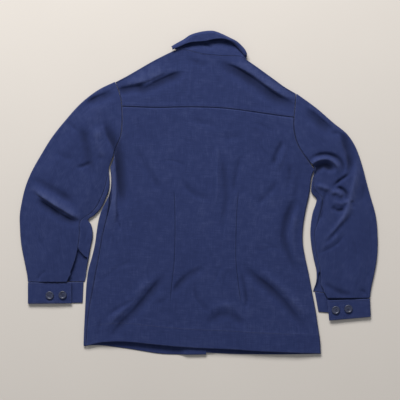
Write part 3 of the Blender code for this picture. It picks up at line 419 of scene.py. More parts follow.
def along_line(x, y, line):
    """For each (x, y): the distance to a dense line, the side (positive on its left), and how far along it.

    The nearest point is the closest of the feet of the squares dropped on all of the line's steps.
    """
    start, step = line[:-1], np.diff(line, axis=0)
    size = np.maximum((step ** 2).sum(axis=1), 1e-9)
    t = ((x[:, None] - start[:, 0]) * step[:, 0] + (y[:, None] - start[:, 1]) * step[:, 1]) / size
    t = np.clip(t, 0, 1)
    away_x = x[:, None] - start[:, 0] - t * step[:, 0]
    away_y = y[:, None] - start[:, 1] - t * step[:, 1]
    distance = np.hypot(away_x, away_y)
    nearest = distance.argmin(axis=1)
    pick = (np.arange(len(x)), nearest)
    side = step[nearest, 0] * away_y[pick] - step[nearest, 1] * away_x[pick]
    share = (nearest + t[pick]) / len(step)
    normal = unit(np.stack((-step[nearest, 1], step[nearest, 0]), axis=1))
    return distance[pick], side, share, normal


def panel_distance(x, y, edges):
    """The distance from each point to the nearest of several lines."""
    nearest = np.full(x.size, 1e9)
    for line in edges:
        distance = along_line(x.ravel(), y.ravel(), smooth_line(line, spread(40)))[0]
        nearest = np.minimum(nearest, distance)
    return nearest.reshape(x.shape)


def to_outline(x, y, outline):
    """How far each (x, y) lies outside a closed outline, 0 inside it."""
    points = to_array(outline)
    ring = np.concatenate((points, points[:1]))
    nearest = along_line(x.ravel(), y.ravel(), ring)[0].reshape(x.shape)
    inside = np.zeros(x.shape, dtype=bool)
    for (x0, y0), (x1, y1) in zip(ring[:-1], ring[1:]):
        crosses = (y0 > y) != (y1 > y)
        reach = x0 + (y - y0) * (x1 - x0) / (y1 - y0 if y1 != y0 else 1e-9)
        inside ^= crosses & (x < reach)
    return np.where(inside, 0.0, nearest)


def crease_relief(x, y, creases, strength):
    """The height of the creases at each (x, y), and how far they pull the cloth sideways.

    Across its smooth line a crease is height * exp(-(distance / width)^2), with one width on its
    left and another on its right, and it fades in and out over the ends of the line. The pull has
    the same form, square to the line.
    """
    height = np.zeros(x.shape)
    pull = np.zeros(x.shape + (2,))
    for number, crease in enumerate(creases):
        line = smooth_line(crease.path, spread(22))
        reach = 2.5 * max(crease.left, crease.right)
        inside = (x > line[:, 0].min() - reach) & (x < line[:, 0].max() + reach)
        inside &= (y > line[:, 1].min() - reach) & (y < line[:, 1].max() + reach)
        if not inside.any():
            continue
        distance, side, share, normal = along_line(x[inside], y[inside], line)
        width = np.where(side > 0, crease.left, crease.right)
        uneven = 1 + 0.14 * np.sin(8 * share + 1.7 * number) + 0.08 * np.sin(21 * share + number)
        form = np.exp(-(distance / width) ** 2) * fade(share, 0.3) * fade(1 - share, 0.3) * uneven
        height[inside] += strength * crease.height * form
        pull[inside] += strength * crease.pull * form[:, None] * normal
    return height, pull


def crumple(x, y):
    """The slow unevenness of cloth that was washed and worn: three products of bent sine waves."""
    first = np.sin(x / 19 + 1.6 * np.sin(y / 43)) * np.sin(y / 23 + 1.4 * np.sin(x / 37))
    second = np.sin((x + 0.7 * y) / 11 + 1.9 * np.sin(y / 29)) * np.sin((y - 0.5 * x) / 14 + np.sin(x / 21))
    third = np.sin((x - 0.4 * y) / 5.3 + 2 * np.sin(y / 17))
    third = third * np.sin((y + 0.3 * x) / 6.1 + 2 * np.sin(x / 15))
    return 0.30 * first + 0.16 * second + 0.05 * third


def pucker(distance, along, depth):
    """Small gathers beside a sewn seam: depth * exp(-distance / 6) * a wave along the seam."""
    wave = np.sin(along / 1.9 + 1.5 * np.sin(along / 14)) * (0.6 + 0.4 * np.sin(along / 23))
    return depth * np.exp(-distance / 6.0) * wave


def from_border(grid, side):
    """How far each grid point lies from one border, and how far along it, measured on the cloth."""
    if side in ("low", "high"):
        step = np.linalg.norm(np.diff(grid, axis=0), axis=2)
        zero = np.zeros((1, grid.shape[1]))
        border = grid[0] if side == "low" else grid[-1]
        total = np.concatenate((zero, np.cumsum(step, axis=0)), axis=0)
        distance = total if side == "low" else total[-1:] - total
        run = np.concatenate(([0.0], np.cumsum(np.linalg.norm(np.diff(border, axis=0), axis=1))))
        return distance, np.broadcast_to(run[None, :], distance.shape)
    distance, run = from_border(np.swapaxes(grid, 0, 1), "low" if side == "left" else "high")
    return distance.T, run.T


def sewn_border(grid, sides, depth, gather):
    """Sinks a grid's sewn borders by depth * exp(-(distance / 1.3)^2) and gathers the cloth beside them."""
    grid = grid.copy()
    for side in sides:
        distance, along = from_border(grid, side)
        grid[..., 2] += pucker(distance, along, gather) - depth * np.exp(-(distance / 1.3) ** 2)
    return grid


def normals(grid):
    """Unit normals of a grid of points, from the slopes along its rows and its columns."""
    return unit(np.cross(np.gradient(grid, axis=1), np.gradient(grid, axis=0)))


def roll_side(grid, inward, radius, angle, straight, turns, laps, rise):
    """Adds columns to the right end of a grid that curl its border over and back.

    At each row the cloth turns through angle on the given radius, then runs straight. inward is the
    unit direction from the border into the panel, and rise is 1 to curl up and -1 to curl down.
    """
    base = grid[:, -1].copy()
    columns = [grid]
    angle = np.asarray(angle, dtype=float)[:, None]
    straight = np.asarray(straight, dtype=float)[:, None]
    side = np.concatenate((inward, np.zeros((len(inward), 1))), axis=1)
    upward = np.array([[0.0, 0.0, float(rise)]])
    slack = 1.8 * (1 - np.minimum(angle / 1.2, 1.0)) / turns
    for number in range(1, turns + 1):
        phi = angle * number / turns
        tangent = -side * np.cos(phi) + upward * np.sin(phi)
        place = base - side * radius * np.sin(phi) + upward * radius * (1 - np.cos(phi))
        columns.append((place + tangent * slack * number)[:, None])
    last = columns[-1][:, 0]
    tangent = -side * np.cos(angle) + upward * np.sin(angle)
    for number in range(1, laps + 1):
        reach = np.maximum(straight * number / laps, 0.9 * number / laps)
        columns.append((last + tangent * reach)[:, None])
    return np.concatenate(columns, axis=1)


def inward_of(border, sense):
    """Unit directions square to a border line, turned to the side given by sense."""
    tangent = unit(np.gradient(border, axis=0))
    return np.stack((-tangent[:, 1], tangent[:, 0]), axis=1) * sense


def cloth_coordinates(grid):
    """Where each grid point lies on the flat cloth, in millimetres: mean run along its row and its column."""
    across = np.linalg.norm(np.diff(grid, axis=1), axis=2)
    along = np.linalg.norm(np.diff(grid, axis=0), axis=2)
    u = np.concatenate((np.zeros((grid.shape[0], 1)), np.cumsum(across, axis=1)), axis=1)
    v = np.concatenate((np.zeros((1, grid.shape[1])), np.cumsum(along, axis=0)), axis=0)
    middle = grid.shape[1] // 2
    return u - u[:, middle:middle + 1], v


def cloth_piece(name, grid, thickness, notes=None):
    """A wall of cloth on a grid of middle points, with rounded rims, a flat pattern and point notes.

    Each point moves out along its normal by thickness / 2 * sqrt(1 - (1 - d / r)^2), d being its
    distance from the nearest border and r the rim's radius, and by at least 0.3 of the half.
    """
    rows, columns = grid.shape[:2]
    count = rows * columns
    nearest = np.minimum.reduce([from_border(grid, side)[0] for side in ("low", "high", "left", "right")])
    bare = np.clip(1 - nearest / (0.9 * thickness), 0, 1)
    half = thickness / 2 * np.maximum(np.sqrt(1 - bare ** 2), 0.3)
    shift = normals(grid) * half[..., None]
    points = np.concatenate(((grid + shift).reshape(-1, 3), (grid - shift).reshape(-1, 3)))
    index = np.arange(count).reshape(rows, columns)
    sheet = np.stack((index[:-1, :-1], index[:-1, 1:], index[1:, 1:], index[1:, :-1]), axis=-1).reshape(-1, 4)
    border = np.concatenate((index[0, :-1], index[:-1, -1], index[-1, :0:-1], index[:0:-1, 0]))
    after = np.roll(border, -1)
    rim = np.stack((border, border + count, after + count, after), axis=1)
    faces = np.concatenate((sheet, sheet[:, ::-1] + count, rim))
    corners = points[faces]
    fans = np.cross(corners[:, 1] - corners[:, 0], corners[:, 2] - corners[:, 0])
    fans += np.cross(corners[:, 2] - corners[:, 0], corners[:, 3] - corners[:, 0])
    if (corners.mean(axis=1) * fans).sum() < 0:
        faces = faces[:, ::-1]
    u, v = cloth_coordinates(grid)
    flat = np.stack((u, v), axis=-1).reshape(-1, 2)
    thing = mesh_object(name, points, faces.tolist(), np.concatenate((flat, flat + [0.0, OTHER_FACE])))
    notes = dict(notes or {})
    notes.setdefault("wear", np.zeros((rows, columns)))
    notes["wear"] = np.maximum(notes["wear"], np.exp(-nearest / 1.6))
    for key, values in notes.items():
        field = thing.data.attributes.new(key, "FLOAT", "POINT")
        field.data.foreach_set("value", np.tile(values.ravel(), 2).astype(np.float32))
    return thing


def mesh_object(name, points, faces, flat=None):
    """One mesh object, its points given in millimetres and its flat pattern put in a UV map in metres."""
    mesh = bpy.data.meshes.new(name)
    mesh.from_pydata((np.asarray(points) * MM).tolist(), [], faces)
    mesh.update()
    mesh.shade_smooth()
    if flat is not None:
        corner = np.empty(len(mesh.loops), dtype=np.int32)
        mesh.loops.foreach_get("vertex_index", corner)
        layer = mesh.uv_layers.new(name="pattern")
        layer.data.foreach_set("uv", (np.asarray(flat)[corner] * MM).astype(np.float32).ravel())
    thing = bpy.data.objects.new(name, mesh)
    bpy.context.scene.collection.objects.link(thing)
    return thing


def settle(thing, material, nodes):
    """Gives a piece its material, its body and the solids it stands for."""
    thing.data.materials.append(material)
    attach(thing, "root")
    if nodes:
        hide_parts(*nodes)
    return thing


# How the panels lie on each other


def under_lift(x, y):
    """How far the fronts are held off the surface by the placket's buttons and the collar leaves."""
    placket = PLACKET_LIFT * (1 - fade(np.abs(x - CENTRE_X) - PLACKET_HALF, 26.0))
    leaves = np.minimum(to_outline(x, y, LEAF_LEFT), to_outline(x, y, LEAF_RIGHT))
    return np.maximum(placket, LEAF_LIFT * (1 - fade(leaves - 20.0, 34.0)))


def front_level(x, y):
    """The middle of a front's cloth where it lies on the surface or on what is under it."""
    return CLOTH / 2 + under_lift(x, y)


def lay_body(flat, creases, strength):
    """Lays a flat grid of the back over the fronts, with its creases.

    Height = edge radius + dome * fade(inset) + creases, kept above the fronts by the soft floor.
    """
    x, y = flat[..., 0], flat[..., 1]
    inset = panel_distance(x, y, (EDGE_LEFT, EDGE_RIGHT, SHOULDER_LEFT, SHOULDER_RIGHT))
    height, pull = crease_relief(x, y, creases, strength)
    inner = fade(inset - 3.0, 13.0)
    ripple = (height + 0.9 * crumple(x, y) * strength) * inner
    propped = under_lift(x, y) * (1 - fade(inset - 8.0, 30.0))
    level = CLOTH / 2 + 2 * EDGE_RADIUS + propped + BODY_DOME * fade(inset, 70.0) + ripple
    overlap = (CLOTH + SEAM + 0.1) * (1 - fade(np.abs(x - CENTRE_X) - PLACKET_HALF - 6.0, 16.0))
    floor = front_level(x, y) + CLOTH + 0.5 + overlap
    moved = flat + pull * inner[..., None]
    grid = np.dstack((moved[..., 0], moved[..., 1], soft_floor(level, floor, 1.2)))
    return grid, height


def back_grid(creases, strength):
    """The lower back from the hem to the yoke seam, its right edge turned down, and its notes."""
    rows = np.concatenate((spread(4, 0, 0.008)[:-1], spread(112, 0.008, UNDERARM),
                           spread(50, UNDERARM, 0.986)[1:], spread(7, 0.986, 1)[1:]))
    left = joined_line((SIDE_SEAM_LEFT, ARMHOLE_LEFT[:5]), (UNDERARM, 1 - UNDERARM), rows)
    right = joined_line((EDGE_RIGHT, ARMHOLE_RIGHT[:5]), (UNDERARM, 1 - UNDERARM), rows)
    below = 1 - fade(rows - UNDERARM + 0.01, 0.02)
    left = left + inward_of(left, -1) * (SEAM / 2 * below + SEAM_ARMHOLE / 2 * (1 - below))[:, None]
    inset = (EDGE_RADIUS + CLOTH / 2) * below + (SEAM_ARMHOLE / 2 + 1.9) * (1 - below)
    inward = inward_of(right, 1)
    right = right + inward * inset[:, None]
    across = graded(176, 5, 0.012)
    low = smooth_line(HEM_BACK, across)
    high = smooth_line(YOKE_SEAM, across) - np.array([0, SEAM / 2 + 0.1])
    left[-1, 1], right[-1, 1] = high[0, 1], high[-1, 1]
    low[0], low[-1], high[0], high[-1] = left[0], right[0], left[-1], right[-1]
    flat = patch(low, high, left, right, across, rows)
    grid, height = lay_body(flat, creases, strength)
    hem = from_border(grid, "low")[0]
    grid[..., 2] += 0.55 * (1 - fade(hem - HEM_DEEP + 1.5, 3.0))
    grid[..., 2] += pucker(np.abs(hem - HEM_DEEP + 2), flat[..., 0], 0.28)
    grid = sewn_border(grid, ("high",), 0.8, 0.30)
    armhole = (1 - below)[:, None] * np.exp(-(from_border(grid, "left")[0] / 1.4) ** 2)
    armhole = armhole + (1 - below)[:, None] * np.exp(-(from_border(grid, "right")[0] / 1.4) ** 2)
    grid[..., 2] -= 0.7 * armhole
    side = from_border(grid, "left")
    grid[..., 2] += pucker(side[0], side[1], 0.5)
    side = from_border(grid, "right")
    grid[..., 2] += pucker(side[0], side[1], 0.35)
    from_left = flat[..., 0] - dart_place(DART_LEFT, flat[..., 1])
    dart = np.minimum(from_left, dart_place(DART_RIGHT, flat[..., 1]) - flat[..., 0])
    span = fade(flat[..., 1] + 272, 26) * fade(12 - flat[..., 1], 26)
    gather = pucker(np.abs(dart), flat[..., 1], 0.16) - 0.5 * np.exp(-(dart / 3.0) ** 2)
    grid[..., 2] += span * gather
    before = grid.shape[1]
    grid = roll_side(grid, inward, EDGE_RADIUS, below * np.pi / 2, below * 0, 7, 0, -1)
    more = grid.shape[1] - before

    def widen(values):
        """A note, repeated over the columns of the turned edge."""
        return np.concatenate((values, np.repeat(values[:, -1:], more, axis=1)), axis=1)

    notes = {
        "relief": widen(height),
        "dart": widen(np.clip(dart, -12, 12)),
        "dart_span": widen(span),
        "hem": widen(np.clip(hem - HEM_DEEP, -14, 14)),
    }
    return grid, notes


def dart_place(line, y):
    """The x of a dart at each y, on the smooth line through its points."""
    dense = smooth_line(line, spread(60))
    order = np.argsort(dense[:, 1])
    return np.interp(y, dense[order, 1], dense[order, 0])


def yoke_grid(creases, strength):
    """The yoke from its seam up to the shoulders, turned down there, and to the neck seam."""
    across = graded(150, 5, 0.012)
    rows = graded(56, 5, 0.03)
    left = smooth_line(ARMHOLE_LEFT[4:], rows)
    right = smooth_line(ARMHOLE_RIGHT[4:], rows)
    left = left + inward_of(left, -1) * SEAM_ARMHOLE / 2
    right = right + inward_of(right, 1) * SEAM_ARMHOLE / 2
    shares = (NECK_FROM, NECK_SHARE, 1 - NECK_FROM - NECK_SHARE)
    high = joined_line((SHOULDER_LEFT, NECK_BACK, SHOULDER_RIGHT), shares, across)
    inward = inward_of(high, -1)
    neck = fade(np.minimum(across - NECK_FROM, NECK_FROM + NECK_SHARE - across) + 0.03, 0.06)
    inset = (EDGE_RADIUS + CLOTH / 2) * (1 - neck) + (SEAM + 1.9) * neck
    high = high + inward * inset[:, None]
    low = smooth_line(YOKE_SEAM, across) + np.array([0, SEAM / 2 + 0.1])
    left[0, 1], right[0, 1] = low[0, 1], low[-1, 1]
    low[0], low[-1] = left[0], right[0]
    high = high + np.outer(fade(0.14 - across, 0.14), left[-1] + inward[0] * inset[0] - high[0])
    high = high + np.outer(fade(across - 0.86, 0.14), right[-1] + inward[-1] * inset[-1] - high[-1])
    left[-1], right[-1] = high[0], high[-1]
    flat = patch(low, high, left, right, across, rows)
    grid, height = lay_body(flat, creases, strength)
    allowance = from_border(grid, "low")[0]
    grid[..., 2] += 0.5 * fade(allowance - 0.6, 1.2) * (1 - fade(allowance - 8, 3))
    grid = sewn_border(grid, ("low",), 0.9, 0.30)
    grid = sewn_border(grid, ("left", "right"), 0.7, 0.25)
    turn = (1 - neck) * np.pi / 2
    turned = roll_side(np.swapaxes(grid, 0, 1), inward, EDGE_RADIUS, turn, neck * 0, 7, 0, -1)
    grid = np.swapaxes(turned, 0, 1)
    height = np.concatenate((height, np.repeat(height[-1:], 7, axis=0)))
    return grid, {"relief": height}, across


def front_grid(edge, armhole, hem, neck, shoulder, centre, sense, turn, added):
    """One front from its centre edge to its side, as rows from hem to shoulder, lying on the surface."""
    rows = np.concatenate((spread(4, 0, 0.008)[:-1], spread(80, 0.008, UNDERARM),
                           spread(32, UNDERARM, 1)[1:]))
    side = joined_line((edge, armhole), (UNDERARM, 1 - UNDERARM), rows)
    share = fade(UNDERARM - 0.03 - rows, 0.16)
    angle = turn * share
    inward = inward_of(side, sense)
    flat_run = 0.9 * added + np.where(rows < UNDERARM - 1e-6, 0.0, SEAM_ARMHOLE / 2)
    inset = (EDGE_RADIUS + CLOTH / 2) * share + flat_run * (1 - share)
    side = side + inward * inset[:, None]
    across = graded(70, 4, 0.01)
    split = 0.46
    high = joined_line((neck, shoulder), (split, 1 - split), across)
    top_in = inward_of(high, -1 if high[-1, 0] > high[0, 0] else 1)
    roll = fade(across - split, 0.06)
    high = high + top_in * ((EDGE_RADIUS + CLOTH / 2) * roll + 1.9 * (1 - roll))[:, None]
    low = smooth_line(hem, across)
    low[-1] = side[0]
    corner = side[-1] + top_in[-1] * (EDGE_RADIUS + CLOTH / 2)
    high = high + np.outer(fade(across - 0.8, 0.2), corner - high[-1])
    side[-1] = high[-1]
    middle = np.outer(1 - rows, (centre, low[0, 1])) + np.outer(rows, (centre, high[0, 1]))
    middle[0], middle[-1] = low[0], high[0]
    flat = patch(low, high, middle, side, across, rows)
    return flat, inward, angle, top_in, roll, rows


def shoulder_roll(grid, top_in, roll):
    """Curls the shoulder end of a front up to meet the yoke, its neck end left flat."""
    more = grid.shape[1] - len(top_in)
    top_in = np.concatenate((top_in, np.repeat(top_in[-1:], more, axis=0)))
    roll = np.concatenate((roll, np.full(more, roll[-1])))
    turned = roll_side(np.swapaxes(grid, 0, 1), top_in, EDGE_RADIUS, roll * SHOULDER_TURN, roll * 0, 6, 0, 1)
    return np.swapaxes(turned, 0, 1)


def left_front_grid():
    """The left front: flat under the back and lapped over the right one.

    Its side wraps over to the side seam.
    """
    flat, inward, angle, top_in, roll, rows = front_grid(
        EDGE_LEFT, ARMHOLE_FRONT_LEFT, HEM_FRONT_LEFT[::-1], NECK_FRONT_LEFT, SHOULDER_LEFT[::-1],
        18, -1, np.pi, 5)
    x, y = flat[..., 0], flat[..., 1]
    over = (CLOTH + SEAM + 0.1) * (1 - fade(np.abs(x - CENTRE_X) - PLACKET_HALF, 16.0))
    grid = np.dstack((x, y, front_level(x, y) + over))
    held = rows[rows <= UNDERARM + 1e-6] / UNDERARM
    apart = np.linalg.norm(smooth_line(SIDE_SEAM_LEFT, held) - smooth_line(EDGE_LEFT, held), axis=1)
    wrap = np.zeros(len(rows))
    wrap[:len(apart)] = np.maximum(apart - EDGE_RADIUS - CLOTH / 2 - SEAM / 2 - 0.25, 0.0)
    grid = roll_side(grid, inward, EDGE_RADIUS, angle, wrap, 10, 8, 1)
    seam, along = from_border(grid, "right")
    lap = np.zeros(grid.shape[:2])
    lap[:, -8:] = 1.0
    sewn = pucker(seam, along, 0.5) - 0.6 * np.exp(-(seam / 1.5) ** 2)
    grid[..., 2] += lap * sewn * (angle / np.pi)[:, None]
    return shoulder_roll(grid, top_in, roll)[:, ::-1]


def right_front_grid():
    """The right front: flat on the surface, its side curled up to meet the back."""
    flat, inward, angle, top_in, roll, rows = front_grid(
        EDGE_RIGHT, ARMHOLE_FRONT_RIGHT, HEM_FRONT_RIGHT, NECK_FRONT_RIGHT, SHOULDER_RIGHT,
        -22, 1, SHORT_TURN, 2)
    x, y = flat[..., 0], flat[..., 1]
    grid = np.dstack((x, y, front_level(x, y)))
    grid = roll_side(grid, inward, EDGE_RADIUS, angle, angle * 0, 6, 0, 1)
    return shoulder_roll(grid, top_in, roll)


def sleeve_grid(stations, armhole, armhole_front, creases, strength):
    """The wrap of one sleeve: from the seam on its upper layer, out round the outer fold, back
    along the lower layer, round the inner fold and over to the seam again.

    Each station's section runs along the chord from A to B, plus its share of the armholes' bow:
    P = A + chord * d + hug * (armhole(d) - first chord(d)). The upper layer lies a fold's height above
    the lower one, which lies on the surface.
    """
    count_rows, count_top, count_low, turns, laps = 176, 92, 34, 9, 9
    table = np.array(stations, dtype=float)
    middle = (table[:, 0:2] + table[:, 2:4]) / 2
    step = np.linalg.norm(np.diff(middle, axis=0), axis=1)
    place = np.concatenate(([0.0], np.cumsum(step)))
    where = graded(count_rows, 5, 0.012) * place[-1]
    value = np.stack([np.interp(where, place, table[:, k]) for k in range(table.shape[1])], axis=1)
    value[:, :4] = hermite(place, table[:, :4], where)
    a, b = value[:, 0:2], value[:, 2:4]
    hug, wrap, slit, swing, turn = (value[:, k][:, None] for k in range(4, 9))
    length = np.linalg.norm(b - a, axis=1)[:, None]
    along = (b - a) / length
    back = np.stack((-along[:, 1], along[:, 0]), axis=1)
    towards = -np.gradient((a + b) / 2, axis=0)
    back *= np.sign((back * towards).sum(axis=1))[:, None]
    radius = EDGE_RADIUS
    near = radius + CLOTH / 2
    top = CLOTH / 2 + 2 * radius

    def bow_of(line, share, seam):
        """How far an armhole line lies off the first chord at each share of the way from A to B."""
        flat = np.clip(share, 0, 1).ravel()
        line = np.concatenate((b[:1], to_array(line)[1:-1], a[:1]))
        bow = smooth_line(line, 1 - flat) - (a[0] * (1 - flat[:, None]) + b[0] * flat[:, None])
        return (bow - back[0] * seam / 2).reshape(share.shape + (2,))

    def put(distance, low, share_swing):
        """Points at a distance along the chord, low being 0 on the upper and 1 on the lower layer."""
        distance, low = np.broadcast_arrays(distance, low)
        share = distance / length
        bow = bow_of(armhole, share, SEAM_ARMHOLE) * (1 - low)[..., None]
        bow = bow + bow_of(armhole_front, share, SEAM_ARMHOLE_LOW) * low[..., None]
        bow = bow * hug[..., None]
        swung = share_swing * share
        x = a[:, :1] + along[:, :1] * distance + bow[..., 0] + back[:, :1] * swung
        y = a[:, 1:] + along[:, 1:] * distance + bow[..., 1] + back[:, 1:] * swung
        return np.stack((x, y, np.zeros_like(x)), axis=-1)

    gap = np.maximum(slit, 2 * SEAM)
    inner_end = length - near
    start = inner_end - wrap * (turn > 0.3) - gap
    distance = start + (near - start) * spread(count_top)[None, :]
    upper = put(distance, 0.0, swing)

    def raise_up(points, distance):
        """The upper layer in its place: a low dome over the lower layer, with the creases."""
        inset = np.minimum(distance, length - distance) - near
        height, pull = crease_relief(points[..., 0], points[..., 1], creases, strength)
        inner = fade(inset, 12.0)
        ripple = (height + 0.9 * crumple(points[..., 0], points[..., 1]) * strength) * inner
        level = top + SLEEVE_DOME * fade(inset, 45.0) + ripple
        placed = points.copy()
        placed[..., :2] += pull * inner[..., None]
        placed[..., 2] = soft_floor(level, CLOTH * 1.5 + SEAM, 0.8)
        return placed, height

    upper, relief_top = raise_up(upper, distance)
    phi = np.linspace(0, np.pi, turns + 1)[None, 1:-1]
    first = put(near - radius * np.sin(phi) + 0 * length, phi / np.pi, 0.0)
    first[..., 2] = CLOTH / 2 + radius + radius * np.cos(phi)
    lower = put(near + (inner_end - near) * spread(count_low)[None, :], 1.0, 0.0)
    lower[..., 2] = CLOTH / 2
    phi = turn * np.pi * np.linspace(0, 1, turns + 1)[None, 1:]
    slack = 2.8 * (1 - turn) * np.arange(1, turns + 1)[None, :] / turns
    reach = radius * np.sin(phi) + slack * np.cos(phi)
    rise = radius * (1 - np.cos(phi)) + slack * np.sin(phi)
    second = put(inner_end + reach, 1 - phi / np.pi, 0.0)
    second[..., 2] = CLOTH / 2 + rise
    end_angle = phi[:, -1:]
    full = fade(turn - 0.9, 0.1)
    run = np.maximum(wrap * full, 1.2) * np.linspace(0, 1, laps + 1)[None, 1:]
    lap = put(inner_end + reach[:, -1:] + run * np.cos(end_angle), 1 - end_angle / np.pi, 0.0)
    curled = CLOTH / 2 + rise[:, -1:] + run * np.sin(end_angle)
    raised, relief_lap = raise_up(lap, inner_end + 0 * run - run)
    lap = lap * (1 - full[..., None]) + raised * full[..., None]
    lap[..., 2] = curled * (1 - full) + raised[..., 2] * full
    grid = np.concatenate((upper, first, lower, second, lap), axis=1)
    quiet = np.zeros((len(a), first.shape[1] + lower.shape[1] + second.shape[1]))
    relief = np.concatenate((relief_top, quiet, relief_lap * full), axis=1)
    seam, run_along = from_border(grid, "low")
    grid[..., 2] += (pucker(seam, run_along, 0.3) - 0.7 * np.exp(-(seam / 1.4) ** 2)) * (grid[..., 2] > 4)
    foot, run_along = from_border(grid, "high")
    grid[..., 2] += pucker(foot, run_along, 0.45) * np.exp(-foot / 14) * (grid[..., 2] > 4)
    return grid, {"relief": relief}


def cuff_grid(cuff):
    """A cuff band: underlap on the surface, turned at the outer fold, its free end on top.

    A shallow groove runs along its stitched edges.
    """
    radius = CUFF_RADIUS
    near = radius + CUFF_CLOTH / 2
    share = graded(16, 4, 0.05)[:, None]
    start = to_array(cuff.under_top) * (1 - share) + to_array(cuff.under_foot) * share
    fold = to_array(cuff.fold_top) * (1 - share) + to_array(cuff.fold_foot) * share
    free = to_array(cuff.free_top) * (1 - share) + to_array(cuff.free_foot) * share
    out = unit(fold - start)
    back = unit(free - fold)
    columns = []
    for t in graded(24, 4, 0.03):
        flat = start * (1 - t) + (fold - out * near) * t
        columns.append(np.concatenate((flat, np.full((len(flat), 1), CUFF_CLOTH / 2)), axis=1))
    for phi in np.linspace(0, np.pi, 13)[1:-1]:
        t = phi / np.pi
        side = unit(out * (1 - t) - back * t)
        flat = (fold - out * near) * (1 - t) + (fold + back * near) * t + side * radius * np.sin(phi)
        level = np.full((len(flat), 1), CUFF_CLOTH / 2 + radius * (1 - np.cos(phi)))
        columns.append(np.concatenate((flat, level), axis=1))
    for t in graded(34, 4, 0.03):
        flat = (fold + back * near) * (1 - t) + free * t
        columns.append(np.concatenate((flat, np.full((len(flat), 1), CUFF_CLOTH / 2 + 2 * radius)), axis=1))
    grid = np.stack(columns, axis=1)
    grid[0, :, 1] -= SEAM + 0.2
    upper = grid[..., 2] > CUFF_CLOTH + 2
    x, y = grid[..., 0], grid[..., 1]
    wave = 0.35 * np.sin(x / 17 + 0.7) * np.sin(y / 13 + 0.4) + 0.6 * crumple(x * 1.3, y * 1.3)
    grid[..., 2] += upper * wave * fade(from_border(grid, "right")[0], 6)
    for side in ("low", "high", "right"):
        distance, along = from_border(grid, side)
        groove = 0.22 * np.exp(-((distance - CUFF_STITCH) / 1.6) ** 2)
        grid[..., 2] += upper * (pucker(np.abs(distance - CUFF_STITCH), along, 0.12) - groove)
    return grid


def collar_grid(neck):
    """The back of the collar: the stand from the yoke's neck edge to the roll, and the fall over it.

    Columns follow the neck seam. Each runs flat from the seam to the foot of the roll, round the roll
    on its radius, and back to the free edge at the height the table gives.
    """
    away = inward_of(neck[:, :2], 1)
    seam = neck[:, :2] + away * (SEAM + 0.1)
    table = to_array(COLLAR)
    value = hermite(spread(len(table)), table, spread(len(seam)))
    radius = np.clip(value[:, 4] * 0.36, 1.3, 6.5)
    roll, free, rise, end = value[:, 0:2], value[:, 2:4], value[:, 4], value[:, 5]
    out = unit(roll - seam)
    near = np.minimum(radius + COLLAR_CLOTH / 2, 0.45 * np.linalg.norm(roll - seam, axis=1))
    foot = roll - out * near[:, None]
    drop = (neck[:, 2] - COLLAR_FOOT) * fade(rise - 6, 9)
    rows = []
    for t in graded(18, 4, 0.05):
        flat = seam * (1 - t) + foot * t
        low = neck[:, 2] - drop * fade(np.array(t), 1.0)
        rows.append(np.concatenate((flat, low[:, None]), axis=1))
    floor = rows[-1][:, 2]
    for phi in np.linspace(0, 0.86 * np.pi, 14)[1:]:
        reach = foot + out * (near * np.sin(phi))[:, None]
        rows.append(np.concatenate((reach, (floor + radius * (1 - np.cos(phi)))[:, None]), axis=1))
    last = rows[-1]
    tip = np.concatenate((free, (last[:, 2] + end)[:, None]), axis=1)
    for t in graded(16, 4, 0.05)[1:]:
        rows.append(last * (1 - t) + tip * t + np.array([0, 0, 1.2]) * np.sin(np.pi * t))
    grid = np.stack(rows, axis=0)
    x, y = grid[..., 0], grid[..., 1]
    grid[..., 2] += 0.5 * crumple(x * 1.4, y * 1.4)
    grid[:20, :, 2] += crease_relief(x, y, COLLAR_CREASES, 1.0)[0][:20]
    grid[..., 2] = soft_floor(grid[..., 2], COLLAR_CLOTH * 0.6, 0.5)
    return grid


def leaf_grid(outline):
    """A collar leaf, flat on the surface under its front."""
    points = to_array(outline)
    near = smooth_line(points[:3], spread(30))
    far = smooth_line(points[5:2:-1], spread(30))
    t = spread(22)[:, None, None]
    flat = near[None] * (1 - t) + far[None] * t
    return np.concatenate((flat, np.full(flat.shape[:2] + (1,), COLLAR_CLOTH / 2)), axis=2)


# Materials


class Link:
    """A shader socket that takes part in sums and products: each sign adds a Math node."""

    def __init__(self, shade, socket):
        self.shade = shade
        self.socket = socket

    def maths(self, sign, first, second=0.0):
        """The output of a Math node with this sign."""
        return self.shade.node("ShaderNodeMath", {"operation": sign}, {0: first, 1: second}).out()

    def __add__(self, other):
        return self.maths("ADD", self, other)

    def __radd__(self, other):
        return self.maths("ADD", other, self)

    def __sub__(self, other):
        return self.maths("SUBTRACT", self, other)

    def __rsub__(self, other):
        return self.maths("SUBTRACT", other, self)

    def __mul__(self, other):
        return self.maths("MULTIPLY", self, other)

    def __rmul__(self, other):
        return self.maths("MULTIPLY", other, self)

    def __truediv__(self, other):
        return self.maths("DIVIDE", self, other)

    def __abs__(self):
        return self.maths("ABSOLUTE", self)

    def clamped(self):
        """This value held between 0 and 1."""
        return self.shade.node("ShaderNodeClamp", {}, {0: self}).out()

    def wave(self):
        """The sine of this value."""
        return self.maths("SINE", self)

    def peak(self, width):
        """1 where this value is 0, falling to 0 at width on both sides."""
        return (1 - abs(self) / width).clamped()


class Made:
    """A node that was made, so its outputs can be read by name or number."""

    def __init__(self, shade, node):
        self.shade = shade
        self.node = node

    def out(self, key=0):
        return Link(self.shade, self.node.outputs[key])


